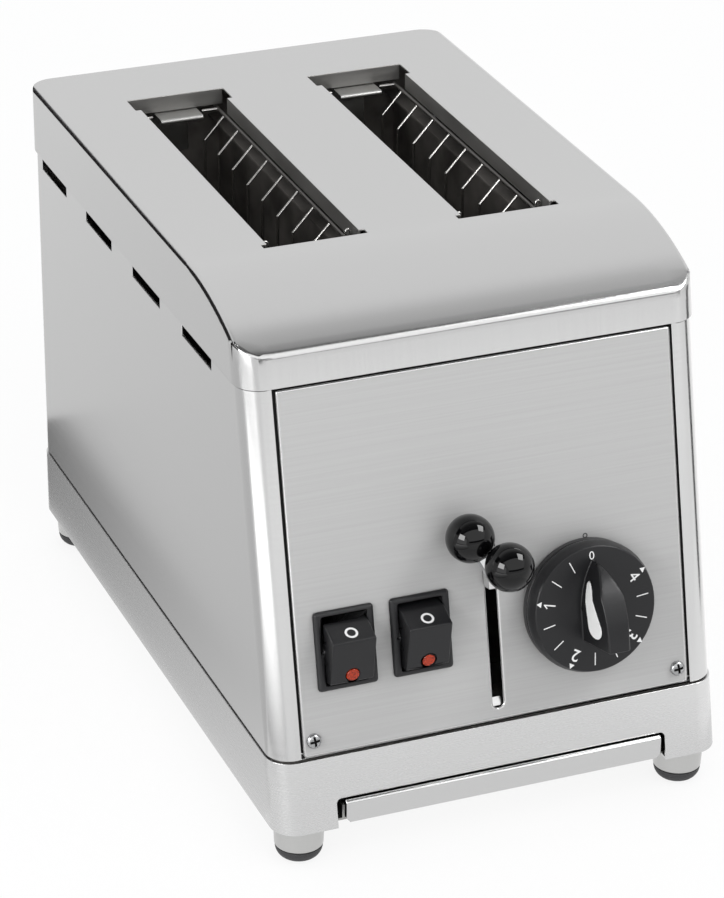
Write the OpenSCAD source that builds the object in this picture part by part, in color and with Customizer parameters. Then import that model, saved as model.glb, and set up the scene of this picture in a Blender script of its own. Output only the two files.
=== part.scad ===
// Two-slot lever toaster: a folded stainless casing on a skirted base, with a leaning
// control panel, wire-guarded bread slots, a sliding bread lift and a crumb tray.
// Z is up from the floor, Y runs from the control panel to the back.

/* [Casing] */
// Width over the body's side walls
body_w = 195; // [190:1:205]
// Height of the top plate above the floor
top_z = 226; // [222:1:236]
// Sheet thickness of the casing
sheet_t = 1; // [0.8:0.1:1.2]
// Outside radius of the upright corners
corner_r = 10; // [8:1:12]
// Lean of the control panel from upright, in degrees
front_lean = 12.25; // [11:0.25:13.5]
// Gap left between sheets that lie on each other
fit_gap = 0.1; // [0.05:0.05:0.2]

/* [Top cover] */
// Height of the cover's lower edge above the floor
cover_edge_z = 196.5; // [192:0.5:200]
// Radius of the long curve at the front of the top plate
hood_r = 131; // [120:1:150]
// Where the long curve starts, behind the foot of the control panel
hood_start = 97; // [92:1:104]
// Outside radius of the fold between the long curve and the front lip
fold_r = 4; // [3:0.5:6]
// Outside radius of the bends along the cover's two sides
bend_r = 2.5; // [2:0.1:4]
// Width of one bread slot
slot_w = 39.5; // [36:0.5:41]
// Length of one bread slot
slot_l = 172.5; // [165:0.5:176]
// Distance from the middle to the centre of each slot
slot_x = 42.2; // [41:0.1:44]
// Start of the slots behind the foot of the control panel
slot_front = 97; // [95:0.5:100]
// Space behind the slots for the end wall and the wiring
rear_space = 37.5; // [37:0.5:50]
// Depth of the flanges turned down round the slots
slot_flange = 7.4; // [6:0.1:9]
// Widening of each slot at its two ends, on each side
relief_w = 2.4; // [1.5:0.1:3]
// Length of the wide stretch at the far end of the slots
relief_far = 12; // [8:0.5:14]
// Length of the corner reliefs at the near end of the slots
relief_near = 4; // [3:0.5:6]

/* [Side vents] */
// Length of one side vent
vent_l = 35.3; // [28:0.1:40]
// Height of a side vent below the cover's edge
vent_h = 4.1; // [3:0.1:6]
// Spacing of the side vents
vent_pitch = 62.6; // [58:0.1:64]
// Start of the first vent behind the foot of the control panel
vent_start = 68.5; // [60:0.5:72]

/* [Base] */
// Height of the base skirt
skirt_h = 29.5; // [28:0.5:34]
// How far the skirt stands proud of the body
skirt_proud = 0.6; // [0.4:0.1:1]
// Shadow gap between skirt and body
seam_gap = 1; // [0.8:0.1:1.5]
// Height of the skirt above the floor
leg_h = 17; // [14:0.5:22]
// Height of the rubber caps under the legs
cap_h = 3.8; // [3:0.1:5]
// Radius of a leg at its top
leg_r = 10.5; // [9:0.1:11]
// Radius of a leg at its foot
leg_foot_r = 10; // [8.5:0.1:10.4]
// Distance of the leg centres from the skirt's outside
leg_inset = 13.5; // [12.5:0.1:15]
// Radius of the flat under a rubber cap
cap_flat_r = 6; // [4:0.5:7]

/* [Crumb tray] */
// Width of the tray's opening in the skirt
tray_gate_w = 145; // [138:1:148]
// Height of the tray's opening
tray_gate_h = 12; // [11:0.5:14]
// Width of the tray's front lip
tray_lip_w = 139; // [130:1:140]
// Height of the tray's front lip
tray_lip_h = 7.6; // [7:0.1:9]
// How far the lip stands in front of the skirt
tray_lip_out = 2.2; // [1.5:0.1:4]
// Depth of the tray
tray_l = 285; // [260:1:292]

/* [Control panel] */
// Width of the control panel
panel_w = 169; // [165:0.5:172]
// Width of the dark gap on each side of the control panel
panel_gap = 1.1; // [0.6:0.1:1.6]
// Height of the line of controls above the panel's foot
control_h = 43.3; // [42:0.1:45]
// Distance of the left rocker switch from the panel's left edge
rocker_inset = 20.7; // [19:0.1:22]
// Spacing of the two rocker switches
rocker_pitch = 32.4; // [31:0.1:33]
// Distance of the timer from the panel's right edge
timer_inset = 44.5; // [42:0.5:46]
// Width of the lever slot
lever_slot_w = 5; // [4.4:0.1:6]
// Distance of the two lower screws from the panel's sides and from its foot
panel_screw_inset = 4.5; // [3.5:0.1:6]
panel_screw_h = 7.2; // [6:0.1:9]

/* [Rocker switches] */
// Width and height of the bezel
bezel_w = 25.6; // [25:0.1:27]
bezel_h = 33; // [32.6:0.1:35]
// How far the bezel stands off the panel
bezel_t = 2; // [1.6:0.1:2.4]
// Width of the rocker
rocker_w = 18.4; // [17:0.1:18.6]
// Half height of the rocker
rocker_half_h = 13.2; // [12.8:0.1:13.4]
// Turn of the rocker from off to on, in degrees
rocker_turn = 16; // [12:1:16]

/* [Timer knob] */
// Diameter of the knob
knob_dia = 55.2; // [50:0.2:58]
// Height of the knob's face above its back
knob_skirt_h = 10.6; // [9:0.1:12]
// Height of the ring at the knob's back
knob_ring_h = 3.5; // [3:0.1:4.5]
// Width and depth of the groove between that ring and the front disc
knob_groove_w = 1; // [0.8:0.1:1.4]
knob_groove_t = 1.2; // [0.8:0.1:1.6]
// Height and inward slope of the bevel round the knob's face
knob_bevel_h = 4.3; // [3:0.1:5]
knob_bevel_in = 1.4; // [1:0.1:3]
// Height of the pointed grip above the face
grip_h = 22; // [16:0.5:24]
// Half width of the grip at the knob's axis
grip_half = 6.1; // [5:0.1:8]
// Reach of the grip's point and of its blunt end from the axis
grip_tip = 20.9; // [18:0.1:24]
grip_tail = 12.5; // [11:0.1:16]
// Diameter of the timer's shaft
shaft_dia = 6; // [5:0.5:7]

/* [Bread lift] */
// Travel of the lever down its slot
lift_travel = 48; // [40:1:49]
// Diameter of the ball knobs
ball_dia = 19.8; // [18:0.1:20.3]
// Diameter of the lever's two rods
handle_rod_dia = 5; // [4:0.5:5.5]
// Diameter of the guide rods
guide_dia = 8; // [6:0.5:9]
// Distance of the guide rods from the middle
guide_x = 22; // [20:0.5:24]

/* [Heating] */
// Diameter of a heating tube
tube_dia = 8; // [6:0.5:9]
// Number of heating tubes in a bank
tube_count = 3; // [2:1:4]
// Half the clear width between the wire guards of a slot
guard_half = 9.8; // [9:0.1:11]
// Number of upright wires in a guard
guard_wires = 9; // [6:1:10]
// Diameter of the guards' upright wires
wire_dia = 1.6; // [1.2:0.1:2]
// Bore of the cord gland
gland_bore = 8; // [6:0.5:9]
// Distance of the cord gland from the body's side
gland_inset = 42.5; // [38:0.5:60]

/* [Hidden] */
$fn = 48;

steel = "silver";
bright_steel = "gainsboro";
dark_plastic = "#303030";

body_d = slot_front + slot_l + rear_space;
lean_s = sin(front_lean);
lean_c = cos(front_lean);
skirt_top = leg_h + skirt_h;
body_z = skirt_top + seam_gap;
cover_grow = sheet_t + fit_gap;
wall_top = cover_edge_z + 10;
flange_w = 12;
past = 1;

rocker_left_x = rocker_inset - panel_w / 2;
rocker_right_x = rocker_left_x + rocker_pitch;
timer_x = panel_w / 2 - timer_inset;
panel_screw_x = panel_w / 2 - panel_screw_inset;

// The lever's two balls: across, up the panel and out from it. The inner one passes the switch
ball_r = ball_dia / 2;
ball_clear = 0.5;
ball_inner_at = [rocker_right_x + rocker_w / 2 + ball_r + ball_clear, 81.8, 10.8];
ball_outer_at = [-2, 72.1, 26];
gland_out = 12;

// The knob's back, its face and the top of its grip, out from the panel
knob_low = 1.2;
knob_top = knob_low + knob_skirt_h;
grip_top = knob_top + grip_h;

// The origin lies under the middle of the overall depth, from the knob or the ball to the gland
front_reach = max(ball_outer_at[2] * lean_c - ball_outer_at[1] * lean_s + ball_r,
  grip_top * lean_c - (control_h - grip_tail) * lean_s);
back_reach = body_d + cover_grow + gland_out;
y_front = (front_reach - back_reach) / 2;
y_back = y_front + body_d;

// A place on the control panel: h up the panel from its foot, d out from its face
function panel_y(h, d) = y_front + h * lean_s - d * lean_c;
function panel_z(h, d) = body_z + h * lean_c + d * lean_s;
function panel_point(p) = [p[0], panel_y(p[1], p[2]), panel_z(p[1], p[2])];

module on_panel(x = 0, h = 0, d = 0) {
  translate(panel_point([x, h, d])) rotate([90 - front_lean, 0, 0]) children();
}

module box(low, high) {
  translate(low) cube(high - low);
}

module rounded_rect(w, d, r) {
  square([w - 2 * r, d], center = true);
  square([w, d - 2 * r], center = true);
  for (x = [-1, 1], y = [-1, 1])
    translate([x * (w / 2 - r), y * (d / 2 - r)]) circle(r);
}

module rod_between(p, q, r, more = 0) {
  v = q - p;
  len_v = norm(v);
  translate(p) rotate([0, acos(v[2] / len_v), atan2(v[1], v[0])])
    translate([0, 0, -more]) cylinder(h = len_v + 2 * more, r = r);
}

// Body envelope

// Across by outward section of the body, rounded at its two front corners
module front_section(grow) {
  half = body_w / 2 + grow;
  r = corner_r + grow;
  reach = 2 * body_d;
  translate([-half, -reach]) square([2 * half, reach + grow - r]);
  translate([r - half, grow - r]) square([2 * (half - r), r]);
  for (s = [-1, 1]) translate([s * (half - r), grow - r]) circle(r);
}

// Plan of the body, rounded at its two back corners
module back_plan(grow) {
  half = body_w / 2 + grow;
  r = corner_r + grow;
  low = y_front - body_d;
  translate([-half, low]) square([2 * half, y_back + grow - r - low]);
  translate([r - half, y_back + grow - r]) square([2 * (half - r), r]);
  for (s = [-1, 1]) translate([s * (half - r), y_back + grow - r]) circle(r);
}

module envelope(grow, low_z, high_z) {
  up = 2 * top_z;
  intersection() {
    on_panel() rotate([90, 0, 0]) translate([0, 0, -up]) linear_extrude(2 * up) front_section(grow);
    translate([0, 0, low_z]) linear_extrude(high_z - low_z) back_plan(grow);
  }
}

// Base

// Outside of the skirt's front sheet, in line with the leaning panel, at a height z
function skirt_face(z) = y_front - (body_z - z) * tan(front_lean) - skirt_proud / lean_c;

mid_y = (y_front + y_back) / 2;
skirt_front = skirt_face(leg_h);
leg_x = body_w / 2 + skirt_proud - leg_inset;
leg_front_y = skirt_front + leg_inset;
leg_back_y = y_back + skirt_proud - leg_inset;
stud_r = 3;
stud_gap = 0.1;
nut_h = 5;

// Folded skirt with a flange at its foot and its top, and the tray's gate in its front
module base_frame() color(steel) {
  gate_r = 2;
  foot_strip = 2 * leg_inset;
  gate_reach = tray_gate_h * tan(front_lean) + 3 * sheet_t + 2 * past;
  difference() {
    envelope(skirt_proud, leg_h, skirt_top);
    envelope(skirt_proud - sheet_t, leg_h + sheet_t, skirt_top - sheet_t);
    translate([0, mid_y, skirt_top - 2 * sheet_t]) linear_extrude(3 * sheet_t)
      rounded_rect(body_w - 2 * flange_w, body_d - 2 * flange_w, gate_r);
    box([-tray_gate_w / 2, skirt_front - past, leg_h - past],
      [tray_gate_w / 2, y_back - foot_strip, leg_h + sheet_t + past]);
    translate([0, skirt_front - past + gate_reach, leg_h]) rotate([90, 0, 0])
      linear_extrude(gate_reach) rounded_rect(tray_gate_w, 2 * tray_gate_h, gate_r);
    for (x = [-leg_x, leg_x], y = [leg_front_y, leg_back_y])
      translate([x, y, leg_h - past]) cylinder(h = sheet_t + 2 * past, r = stud_r + stud_gap);
  }
}

module leg(sx, y) color(bright_steel) {
  translate([sx * leg_x, y, 0]) {
    translate([0, 0, cap_h]) cylinder(h = leg_h - cap_h, r1 = leg_foot_r, r2 = leg_r);
    translate([0, 0, leg_h]) cylinder(h = sheet_t + nut_h + past, r = stud_r);
  }
}

module foot_cap(sx, y) color("#3c3c3c") {
  dome_z = (leg_foot_r ^ 2 + cap_h ^ 2 - cap_flat_r ^ 2) / (2 * cap_h);
  dome_r = sqrt(cap_flat_r ^ 2 + dome_z ^ 2);
  translate([sx * leg_x, y, 0]) intersection() {
    translate([0, 0, dome_z]) sphere(dome_r);
    cylinder(h = cap_h, r = leg_foot_r + past);
  }
}

module leg_nuts() color(bright_steel) {
  nut_r = 5.77;
  for (x = [-leg_x, leg_x], y = [leg_front_y, leg_back_y])
    translate([x, y, leg_h + sheet_t]) difference() {
      cylinder(h = nut_h, r = nut_r, $fn = 6);
      translate([0, 0, -past]) cylinder(h = nut_h + 2 * past, r = stud_r + stud_gap);
    }
}

// Openings in the deck let crumbs fall into the tray
module chassis_deck() color(steel) {
  inset = 1.5;
  open_half = bank_x + 9;
  translate([0, 0, skirt_top]) difference() {
    linear_extrude(seam_gap) translate([0, mid_y])
      rounded_rect(body_w - 2 * inset, body_d - 2 * inset, corner_r - inset);
    for (s = [-1, 1])
      box([s * slot_x - open_half, y_front + front_wall_y + flange_w + past, -past],
        [s * slot_x + open_half, y_front + rear_wall_y - flange_w - past, seam_gap + past]);
  }
}

// Casing

open_w = panel_w + 2 * panel_gap;
back_screw_x = body_w / 2 - 14;
back_window_x = back_screw_x - 6;
back_panel_top = cover_edge_z - 1;
back_panel_low = body_z + 2;
back_screw_low = back_panel_low + 6;
back_screw_high = back_panel_top - 6;
screw_shank_r = 1.4;
screw_head_r = 3.1;
screw_head_h = 2.2;
screw_l = 6;
panel_seat = 2 * sheet_t + fit_gap;

// Side walls with front pillars, a bottom flange all round and a framed back
module body_shell() color(steel) {
  seat_w = 10;
  seat_up = (wall_top - body_z) / lean_c - 4;
  difference() {
    union() {
      difference() {
        envelope(0, body_z, wall_top);
        envelope(-sheet_t, body_z + sheet_t, wall_top + past);
        box([flange_w - body_w / 2, y_front + flange_w, body_z - past],
          [body_w / 2 - flange_w, y_back - flange_w, body_z + 2 * sheet_t]);
        on_panel() box([-open_w / 2, 1.2 * sheet_t, -2 * sheet_t], [open_w / 2, top_z, past]);
      }
      for (s = [0, 1]) mirror([s, 0, 0]) on_panel() {
        box([open_w / 2, 2 * sheet_t, -panel_seat], [open_w / 2 + sheet_t, seat_up, -sheet_t / 2]);
        box([open_w / 2 - seat_w, 2 * sheet_t, -panel_seat],
          [open_w / 2 + sheet_t, seat_up, sheet_t - panel_seat]);
      }
    }
    box([-back_window_x, y_back - 2 * sheet_t, body_z + flange_w],
      [back_window_x, y_back + past, back_screw_high - 8]);
    for (s = [-1, 1], k = [0 : 3])
      box([s * body_w / 2 - 2 * sheet_t, y_front + vent_start + k * vent_pitch, cover_edge_z - vent_h],
        [s * body_w / 2 + 2 * sheet_t, y_front + vent_start + k * vent_pitch + vent_l, cover_edge_z + 3]);
    for (s = [-1, 1])
      on_panel(s * panel_screw_x, panel_screw_h, -panel_seat - past)
        cylinder(h = panel_seat + past, r = screw_shank_r + fit_gap);
    for (x = [-back_screw_x, back_screw_x], z = [back_screw_low, back_screw_high])
      translate([x, y_back + past, z]) rotate([90, 0, 0])
        cylinder(h = sheet_t + 2 * past, r = screw_shank_r + fit_gap);
  }
}

gland_x = body_w / 2 - gland_inset;
gland_z = body_z + 30;
gland_r = 6;

// Sheet screwed over the back, with louvre slots and the cord gland's hole
module back_panel() color(steel) {
  half = back_screw_x + 7;
  louvre_l = 44;
  louvre_w = 4;
  louvre_pitch = 11;
  translate([0, y_back + fit_gap + sheet_t, 0]) rotate([90, 0, 0]) linear_extrude(sheet_t) difference() {
    translate([0, (back_panel_low + back_panel_top) / 2])
      rounded_rect(2 * half, back_panel_top - back_panel_low, 3);
    for (s = [-1, 1], k = [0 : 5]) translate([s * slot_x, back_screw_high - 18 - k * louvre_pitch])
      rounded_rect(louvre_l, louvre_w, louvre_w / 2 - 0.01);
    for (x = [-back_screw_x, back_screw_x], z = [back_screw_low, back_screw_high])
      translate([x, z]) circle(screw_shank_r + fit_gap);
    translate([gland_x, gland_z]) circle(gland_r + fit_gap);
  }
}

module pan_screw() {
  dome_r = (screw_head_r ^ 2 + screw_head_h ^ 2) / (2 * screw_head_h);
  translate([0, 0, -screw_l]) cylinder(h = screw_l + past / 2, r = screw_shank_r);
  intersection() {
    translate([0, 0, screw_head_h - dome_r]) sphere(dome_r);
    cylinder(h = screw_head_h + past, r = screw_head_r + past);
  }
}

module panel_screws() color(bright_steel) {
  for (s = [-1, 1]) on_panel(s * panel_screw_x, panel_screw_h) pan_screw();
}

module back_screws() color(bright_steel) {
  for (x = [-back_screw_x, back_screw_x], z = [back_screw_low, back_screw_high])
    translate([x, y_back + fit_gap + sheet_t, z]) rotate([-90, 0, 0]) pan_screw();
}

// Top cover

// Lip's outer face in the side view, its inward normal and its direction upward
lip_foot = [panel_y(0, cover_grow), panel_z(0, cover_grow)];
lip_in = [lean_c, -lean_s];
lip_up = [lean_s, lean_c];
hood_centre = [y_front + hood_start, top_z - hood_r];

// The fold's centre lies fold_r inside both the lip and the long curve
fold_base = lip_foot + fold_r * lip_in - hood_centre;
fold_b = fold_base * lip_up;
fold_c = fold_base * fold_base - (hood_r - fold_r) ^ 2;
fold_up = -fold_b + sqrt(fold_b ^ 2 - fold_c);
fold_centre = lip_foot + fold_r * lip_in + fold_up * lip_up;
fold_out = (fold_centre - hood_centre) / norm(fold_centre - hood_centre);

// Side view of the cover, moved in by a sheet's thickness for its inside
module cover_side(inset, low_z) {
  lip_top = fold_centre - (fold_r - inset) * lip_in;
  hood_end = fold_centre + (fold_r - inset) * fold_out;
  hood_top = [hood_centre[0], top_z - inset];
  back_y = y_back + cover_grow - inset;
  wide = 2 * hood_r;
  intersection() {
    union() {
      polygon([lip_top - 2 * fold_up * lip_up, lip_top, fold_centre, hood_end, hood_top,
        [back_y, top_z - inset], [back_y, 0]]);
      translate(fold_centre) circle(fold_r - inset);
      intersection() {
        translate(hood_centre) circle(hood_r - inset, $fn = 180);
        polygon([hood_centre, hood_centre + wide * fold_out, hood_centre + [0, wide]]);
      }
    }
    translate([y_front - body_d, low_z]) square([3 * body_d, top_z]);
  }
}

// The cover's block with its two long edges bent round: straight behind, turned along the
// long curve, and plain in front, where the upright corners round it off
module cover_bends(inset) {
  half = body_w / 2 + cover_grow - inset;
  r = bend_r - inset;
  deep = 2 * hood_r;
  wide = 2 * body_w;
  lap = 3;
  translate([0, hood_centre[0] + body_d, 0]) rotate([90, 0, 0]) linear_extrude(body_d) {
    translate([-half, top_z - inset - deep]) square([2 * half, deep - r]);
    translate([r - half, top_z - inset - deep]) square([2 * (half - r), deep]);
    for (x = [r - half, half - r]) translate([x, top_z - inset - r]) circle(r);
  }
  intersection() {
    translate([0, hood_centre[0], hood_centre[1]]) rotate([0, 90, 0]) rotate_extrude($fn = 180) {
      translate([0, -half]) square([hood_r - inset - r, 2 * half]);
      translate([0, r - half]) square([hood_r - inset, 2 * (half - r)]);
      for (x = [r - half, half - r]) translate([hood_r - inset - r, x]) circle(r);
    }
    rotate([90, 0, 90]) translate([0, 0, -wide / 2]) linear_extrude(wide)
      polygon([hood_centre, hood_centre + deep * fold_out, hood_centre + deep * [sin(lap), cos(lap)]]);
  }
  rotate([90, 0, 90]) translate([0, 0, -half]) linear_extrude(2 * half)
    polygon([hood_centre, hood_centre + deep * fold_out, hood_centre - [deep, deep], hood_centre - [0, deep]]);
}

module cover_block(inset, low_z) {
  intersection() {
    rotate([90, 0, 90]) translate([0, 0, -body_w]) linear_extrude(2 * body_w) cover_side(inset, low_z);
    envelope(cover_grow - inset, low_z, top_z + past);
    cover_bends(inset);
  }
}

slot_mid_y = y_front + slot_front + slot_l / 2;

// Outline of a bread slot with its wide far end and small near corner reliefs
module slot_plan() {
  translate([-slot_w / 2, -slot_l / 2]) square([slot_w, slot_l]);
  translate([-slot_w / 2 - relief_w, slot_l / 2 - relief_far])
    square([slot_w + 2 * relief_w, relief_far]);
  translate([-slot_w / 2 - relief_w, -slot_l / 2])
    square([slot_w + 2 * relief_w, relief_near]);
}

// Flanges turned down along a slot's two sides and two ends
module slot_flanges() {
  side_l = slot_l - relief_far - relief_near;
  low = top_z - slot_flange;
  for (s = [0, 1]) mirror([s, 0, 0])
    box([slot_w / 2, relief_near - slot_l / 2, low], [slot_w / 2 + sheet_t, relief_near - slot_l / 2 + side_l,
      top_z - sheet_t / 2]);
  box([-slot_w / 2, -slot_l / 2 - sheet_t, low], [slot_w / 2, -slot_l / 2, top_z - sheet_t / 2]);
  far_half = slot_w / 2 + relief_w;
  box([-far_half, slot_l / 2, low], [far_half, slot_l / 2 + sheet_t, top_z - sheet_t / 2]);
}

module top_cover() color(steel) {
  difference() {
    cover_block(0, cover_edge_z);
    cover_block(sheet_t, cover_edge_z - past);
    for (s = [-1, 1]) translate([s * slot_x, slot_mid_y, top_z - 2 * sheet_t])
      linear_extrude(4 * sheet_t) slot_plan();
  }
  for (s = [-1, 1]) translate([s * slot_x, slot_mid_y, 0]) slot_flanges();
}

// Control panel

arm_low = 58;
arm_high = 74;
lever_slot_high = arm_high + 2;
lever_slot_low = arm_low - lift_travel - 4.6;
timer_hole_r = 5;
cutout_w = 22;
cutout_h = 30;

module front_panel() color(steel) {
  low = 1.5 * sheet_t;
  high = (cover_edge_z - body_z) / lean_c + 6;
  foot_r = 4;
  on_panel(0, 0, -sheet_t) linear_extrude(sheet_t) difference() {
    union() {
      translate([-panel_w / 2, low + foot_r]) square([panel_w, high - low - foot_r]);
      translate([0, low + foot_r]) rounded_rect(panel_w, 2 * foot_r, foot_r - 0.01);
    }
    for (x = [rocker_left_x, rocker_right_x])
      translate([x, control_h]) square([cutout_w, cutout_h], center = true);
    translate([timer_x, control_h]) circle(timer_hole_r);
    translate([-lever_slot_w / 2, lever_slot_low + lever_slot_w / 2])
      square([lever_slot_w, lever_slot_high - lever_slot_low - lever_slot_w]);
    for (h = [lever_slot_low + lever_slot_w / 2, lever_slot_high - lever_slot_w / 2])
      translate([0, h]) circle(lever_slot_w / 2);
    for (s = [-1, 1]) translate([s * panel_screw_x, panel_screw_h]) circle(screw_shank_r + fit_gap);
  }
}

// Crumb tray

tray_floor_z = leg_h + 2 * sheet_t + 0.3;
pan_w = tray_lip_w - 3;

// Flat strips on the skirt's foot flanges carry the tray between two low guides
module tray_rails() color(steel) {
  nut_clear = 7;
  rail_lap = 6;
  guide_h = 8;
  front = skirt_front + 4;
  rear = y_back - 2 * leg_inset - 3;
  rail_out = leg_x - nut_clear;
  guide_in = pan_w / 2 + 0.5;
  for (s = [0, 1]) mirror([s, 0, 0]) {
    box([pan_w / 2 - rail_lap, front, leg_h + sheet_t], [rail_out, rear, leg_h + 2 * sheet_t]);
    box([guide_in, front, leg_h + sheet_t], [guide_in + sheet_t, rear, leg_h + guide_h]);
  }
}

// Pan with a flat front lip whose top edge is rolled
module crumb_tray() color(bright_steel) {
  wall_h = 6;
  lip_y = skirt_face(tray_floor_z + tray_lip_h / 2) - tray_lip_out;
  roll_r = 1.4;
  lip_r = 3;
  roll_z = tray_floor_z + tray_lip_h - roll_r;
  difference() {
    box([-pan_w / 2, lip_y, tray_floor_z], [pan_w / 2, lip_y + tray_l, tray_floor_z + wall_h]);
    box([sheet_t - pan_w / 2, lip_y - past, tray_floor_z + sheet_t],
      [pan_w / 2 - sheet_t, lip_y + tray_l - sheet_t, tray_floor_z + wall_h + past]);
  }
  translate([0, lip_y + sheet_t, roll_z]) rotate([90, 0, 0]) linear_extrude(sheet_t) difference() {
    translate([0, roll_r - tray_lip_h / 2 + lip_r]) rounded_rect(tray_lip_w, tray_lip_h + 2 * lip_r, lip_r);
    translate([-tray_lip_w, 0]) square([2 * tray_lip_w, 2 * tray_lip_h]);
  }
  translate([-tray_lip_w / 2, lip_y + roll_r, roll_z]) rotate([0, 90, 0])
    cylinder(h = tray_lip_w, r = roll_r);
}

// Heating chamber

front_wall_y = 84;
rear_wall_y = slot_front + slot_l + 13;
chamber_low = y_front + front_wall_y + sheet_t;
chamber_high = y_front + rear_wall_y;
wall_half = body_w / 2 - flange_w - 0.5;
bulkhead_top = top_z - 4;
bar_r = 1;
bank_x = guard_half + 8.5;
reflector_x = bank_x + 6.5;
guard_low = body_z + 26;
guard_top = top_z - slot_flange - bar_r - fit_gap;
guard_bend = guard_top - 10;
guard_flare = slot_w / 2 - 0.5;
bar_gap = 0.15;
tube_low = guard_low + 23;
tube_high = guard_bend - 42;
tube_gap = 0.2;

function tube_z(k) = tube_low + (tube_high - tube_low) * k / (tube_count - 1);

// Sheet wall across the chamber, drilled for tubes and guard bars
module bulkhead(wall_y, fold) {
  y = y_front + wall_y;
  difference() {
    union() {
      box([-wall_half, y, body_z], [wall_half, y + sheet_t, bulkhead_top]);
      box([-wall_half, min(y, y + fold), body_z], [wall_half, max(y + sheet_t, y + fold), body_z + sheet_t]);
    }
    for (s = [-1, 1], e = [-1, 1]) {
      for (k = [0 : tube_count - 1]) translate([s * slot_x + e * bank_x, y - past, tube_z(k)])
        rotate([-90, 0, 0]) cylinder(h = sheet_t + 2 * past, r = tube_dia / 2 + tube_gap);
      for (p = [[guard_half, guard_low], [guard_flare, guard_top]])
        translate([s * slot_x + e * p[0], y - past, p[1]])
          rotate([-90, 0, 0]) cylinder(h = sheet_t + 2 * past, r = bar_r + bar_gap);
    }
  }
}

module front_bulkhead() color(steel) {
  gate_half = 5;
  difference() {
    bulkhead(front_wall_y, flange_w);
    for (s = [-1, 1])
      box([s * slot_x - gate_half, y_front + front_wall_y - past, rack_z - lift_travel * lean_c - 3],
        [s * slot_x + gate_half, y_front + front_wall_y + sheet_t + past, rack_z + rack_h + 8]);
  }
}

module rear_bulkhead() color(steel) bulkhead(rear_wall_y, -flange_w);

// Bright ledge under the far flange of each slot, folded down on the rear wall
module slot_brackets() color(bright_steel) {
  ledge_l = 9.5;
  nose_r = 1.2;
  fold_l = 24;
  ledge_top = top_z - slot_flange - 2 * fit_gap;
  nose_y = y_front + slot_front + slot_l - ledge_l + nose_r;
  rear = chamber_high - fit_gap;
  for (s = [-1, 1]) {
    left = s * slot_x - guard_half;
    right = s * slot_x + guard_half;
    box([left, nose_y, ledge_top - sheet_t], [right, rear, ledge_top]);
    translate([left, nose_y, ledge_top - nose_r]) rotate([0, 90, 0]) cylinder(h = right - left, r = nose_r);
    box([left, rear - sheet_t, ledge_top - fold_l], [right, rear, ledge_top - sheet_t / 2]);
  }
}

// Folded reflector sheet behind a bank of tubes, on the side e of the slot s
module reflector(s, e) color(bright_steel) {
  lip = 5;
  low = guard_low + 4;
  high = guard_bend + 2;
  out_x = s * slot_x + e * reflector_x;
  in_x = out_x - e * lip;
  back_x = out_x + e * sheet_t;
  front = chamber_low + fit_gap;
  rear = chamber_high - fit_gap;
  box([min(out_x, back_x), front, low], [max(out_x, back_x), rear, high]);
  for (z = [low, high - sheet_t])
    box([min(in_x, back_x), front, z], [max(in_x, back_x), rear, z + sheet_t]);
}

// Bank of heating tubes with ceramic ends outside the bulkheads
module heater(s, e) color("#5a5a58") {
  cap_l = 8;
  cap_r = tube_dia / 2 + 1;
  for (k = [0 : tube_count - 1]) translate([s * slot_x + e * bank_x, 0, tube_z(k)]) rotate([-90, 0, 0]) {
    translate([0, 0, chamber_low - sheet_t - cap_l])
      cylinder(h = chamber_high - chamber_low + 2 * (sheet_t + cap_l), r = tube_dia / 2);
    translate([0, 0, chamber_low - sheet_t - fit_gap - cap_l]) cylinder(h = cap_l, r = cap_r);
    translate([0, 0, chamber_high + sheet_t + fit_gap]) cylinder(h = cap_l, r = cap_r);
  }
}

// Wire guard: upright wires flared out at the top, welded to two long bars and an end wire
module guard(s, e) color(bright_steel) {
  x = s * slot_x + e * guard_half;
  flare_x = s * slot_x + e * guard_flare;
  first = slot_front + 15.4;
  step = (slot_l - 26.1) / (guard_wires - 1);
  tail = 2;
  end_y = y_front + slot_front + slot_l - 2.2;
  for (p = [[x, guard_low], [flare_x, guard_top]])
    translate([p[0], chamber_low - sheet_t - tail, p[1]]) rotate([-90, 0, 0])
      cylinder(h = chamber_high - chamber_low + 2 * (sheet_t + tail), r = bar_r);
  for (k = [0 : guard_wires - 1]) {
    y = y_front + first + k * step;
    translate([x, y, guard_low]) cylinder(h = guard_bend - guard_low, r = wire_dia / 2);
    rod_between([x, y, guard_bend - wire_dia / 4], [flare_x, y, guard_top], 0.95 * wire_dia / 2);
  }
  rod_between([x + e * 1.5, end_y, guard_top], [flare_x, end_y, guard_top], wire_dia / 2);
}

// Bread lift

arm_half = 1.5;
arm_out = 7;
rail_d = -30;
carriage_low = 62;
carriage_high = 76;
carriage_half = slot_x + 5;
carriage_front = -23;
carriage_back = -38;
bush_r = guide_dia / 2 + 1;
running_gap = 0.05;
bridge_h = 140;
foot_t = 3;
rack_h = 10;
rack_t = 2;
rack_z = panel_z((carriage_low + carriage_high) / 2, carriage_back) - rack_h / 2;
guide_low = (2 - rail_d * lean_s) / lean_c;
handle_seat_inner = [0, 61.5, 4.5];
handle_seat_outer = [0, 69.5, 4.5];

module guide_pair(r, low, high) {
  for (s = [-1, 1]) rod_between(panel_point([s * guide_x, low, rail_d]),
    panel_point([s * guide_x, high, rail_d]), r);
}

module guide_rods() color(bright_steel) guide_pair(guide_dia / 2, guide_low, bridge_h + 8);

// Bar on the deck that holds the feet of the guide rods
module guide_foot() color(steel) {
  y = panel_y(guide_low, rail_d);
  difference() {
    box([-guide_x - 9, y - 8, body_z], [guide_x + 9, y + 8, body_z + foot_t]);
    guide_pair(guide_dia / 2 + running_gap, guide_low, bridge_h);
  }
}

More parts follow.
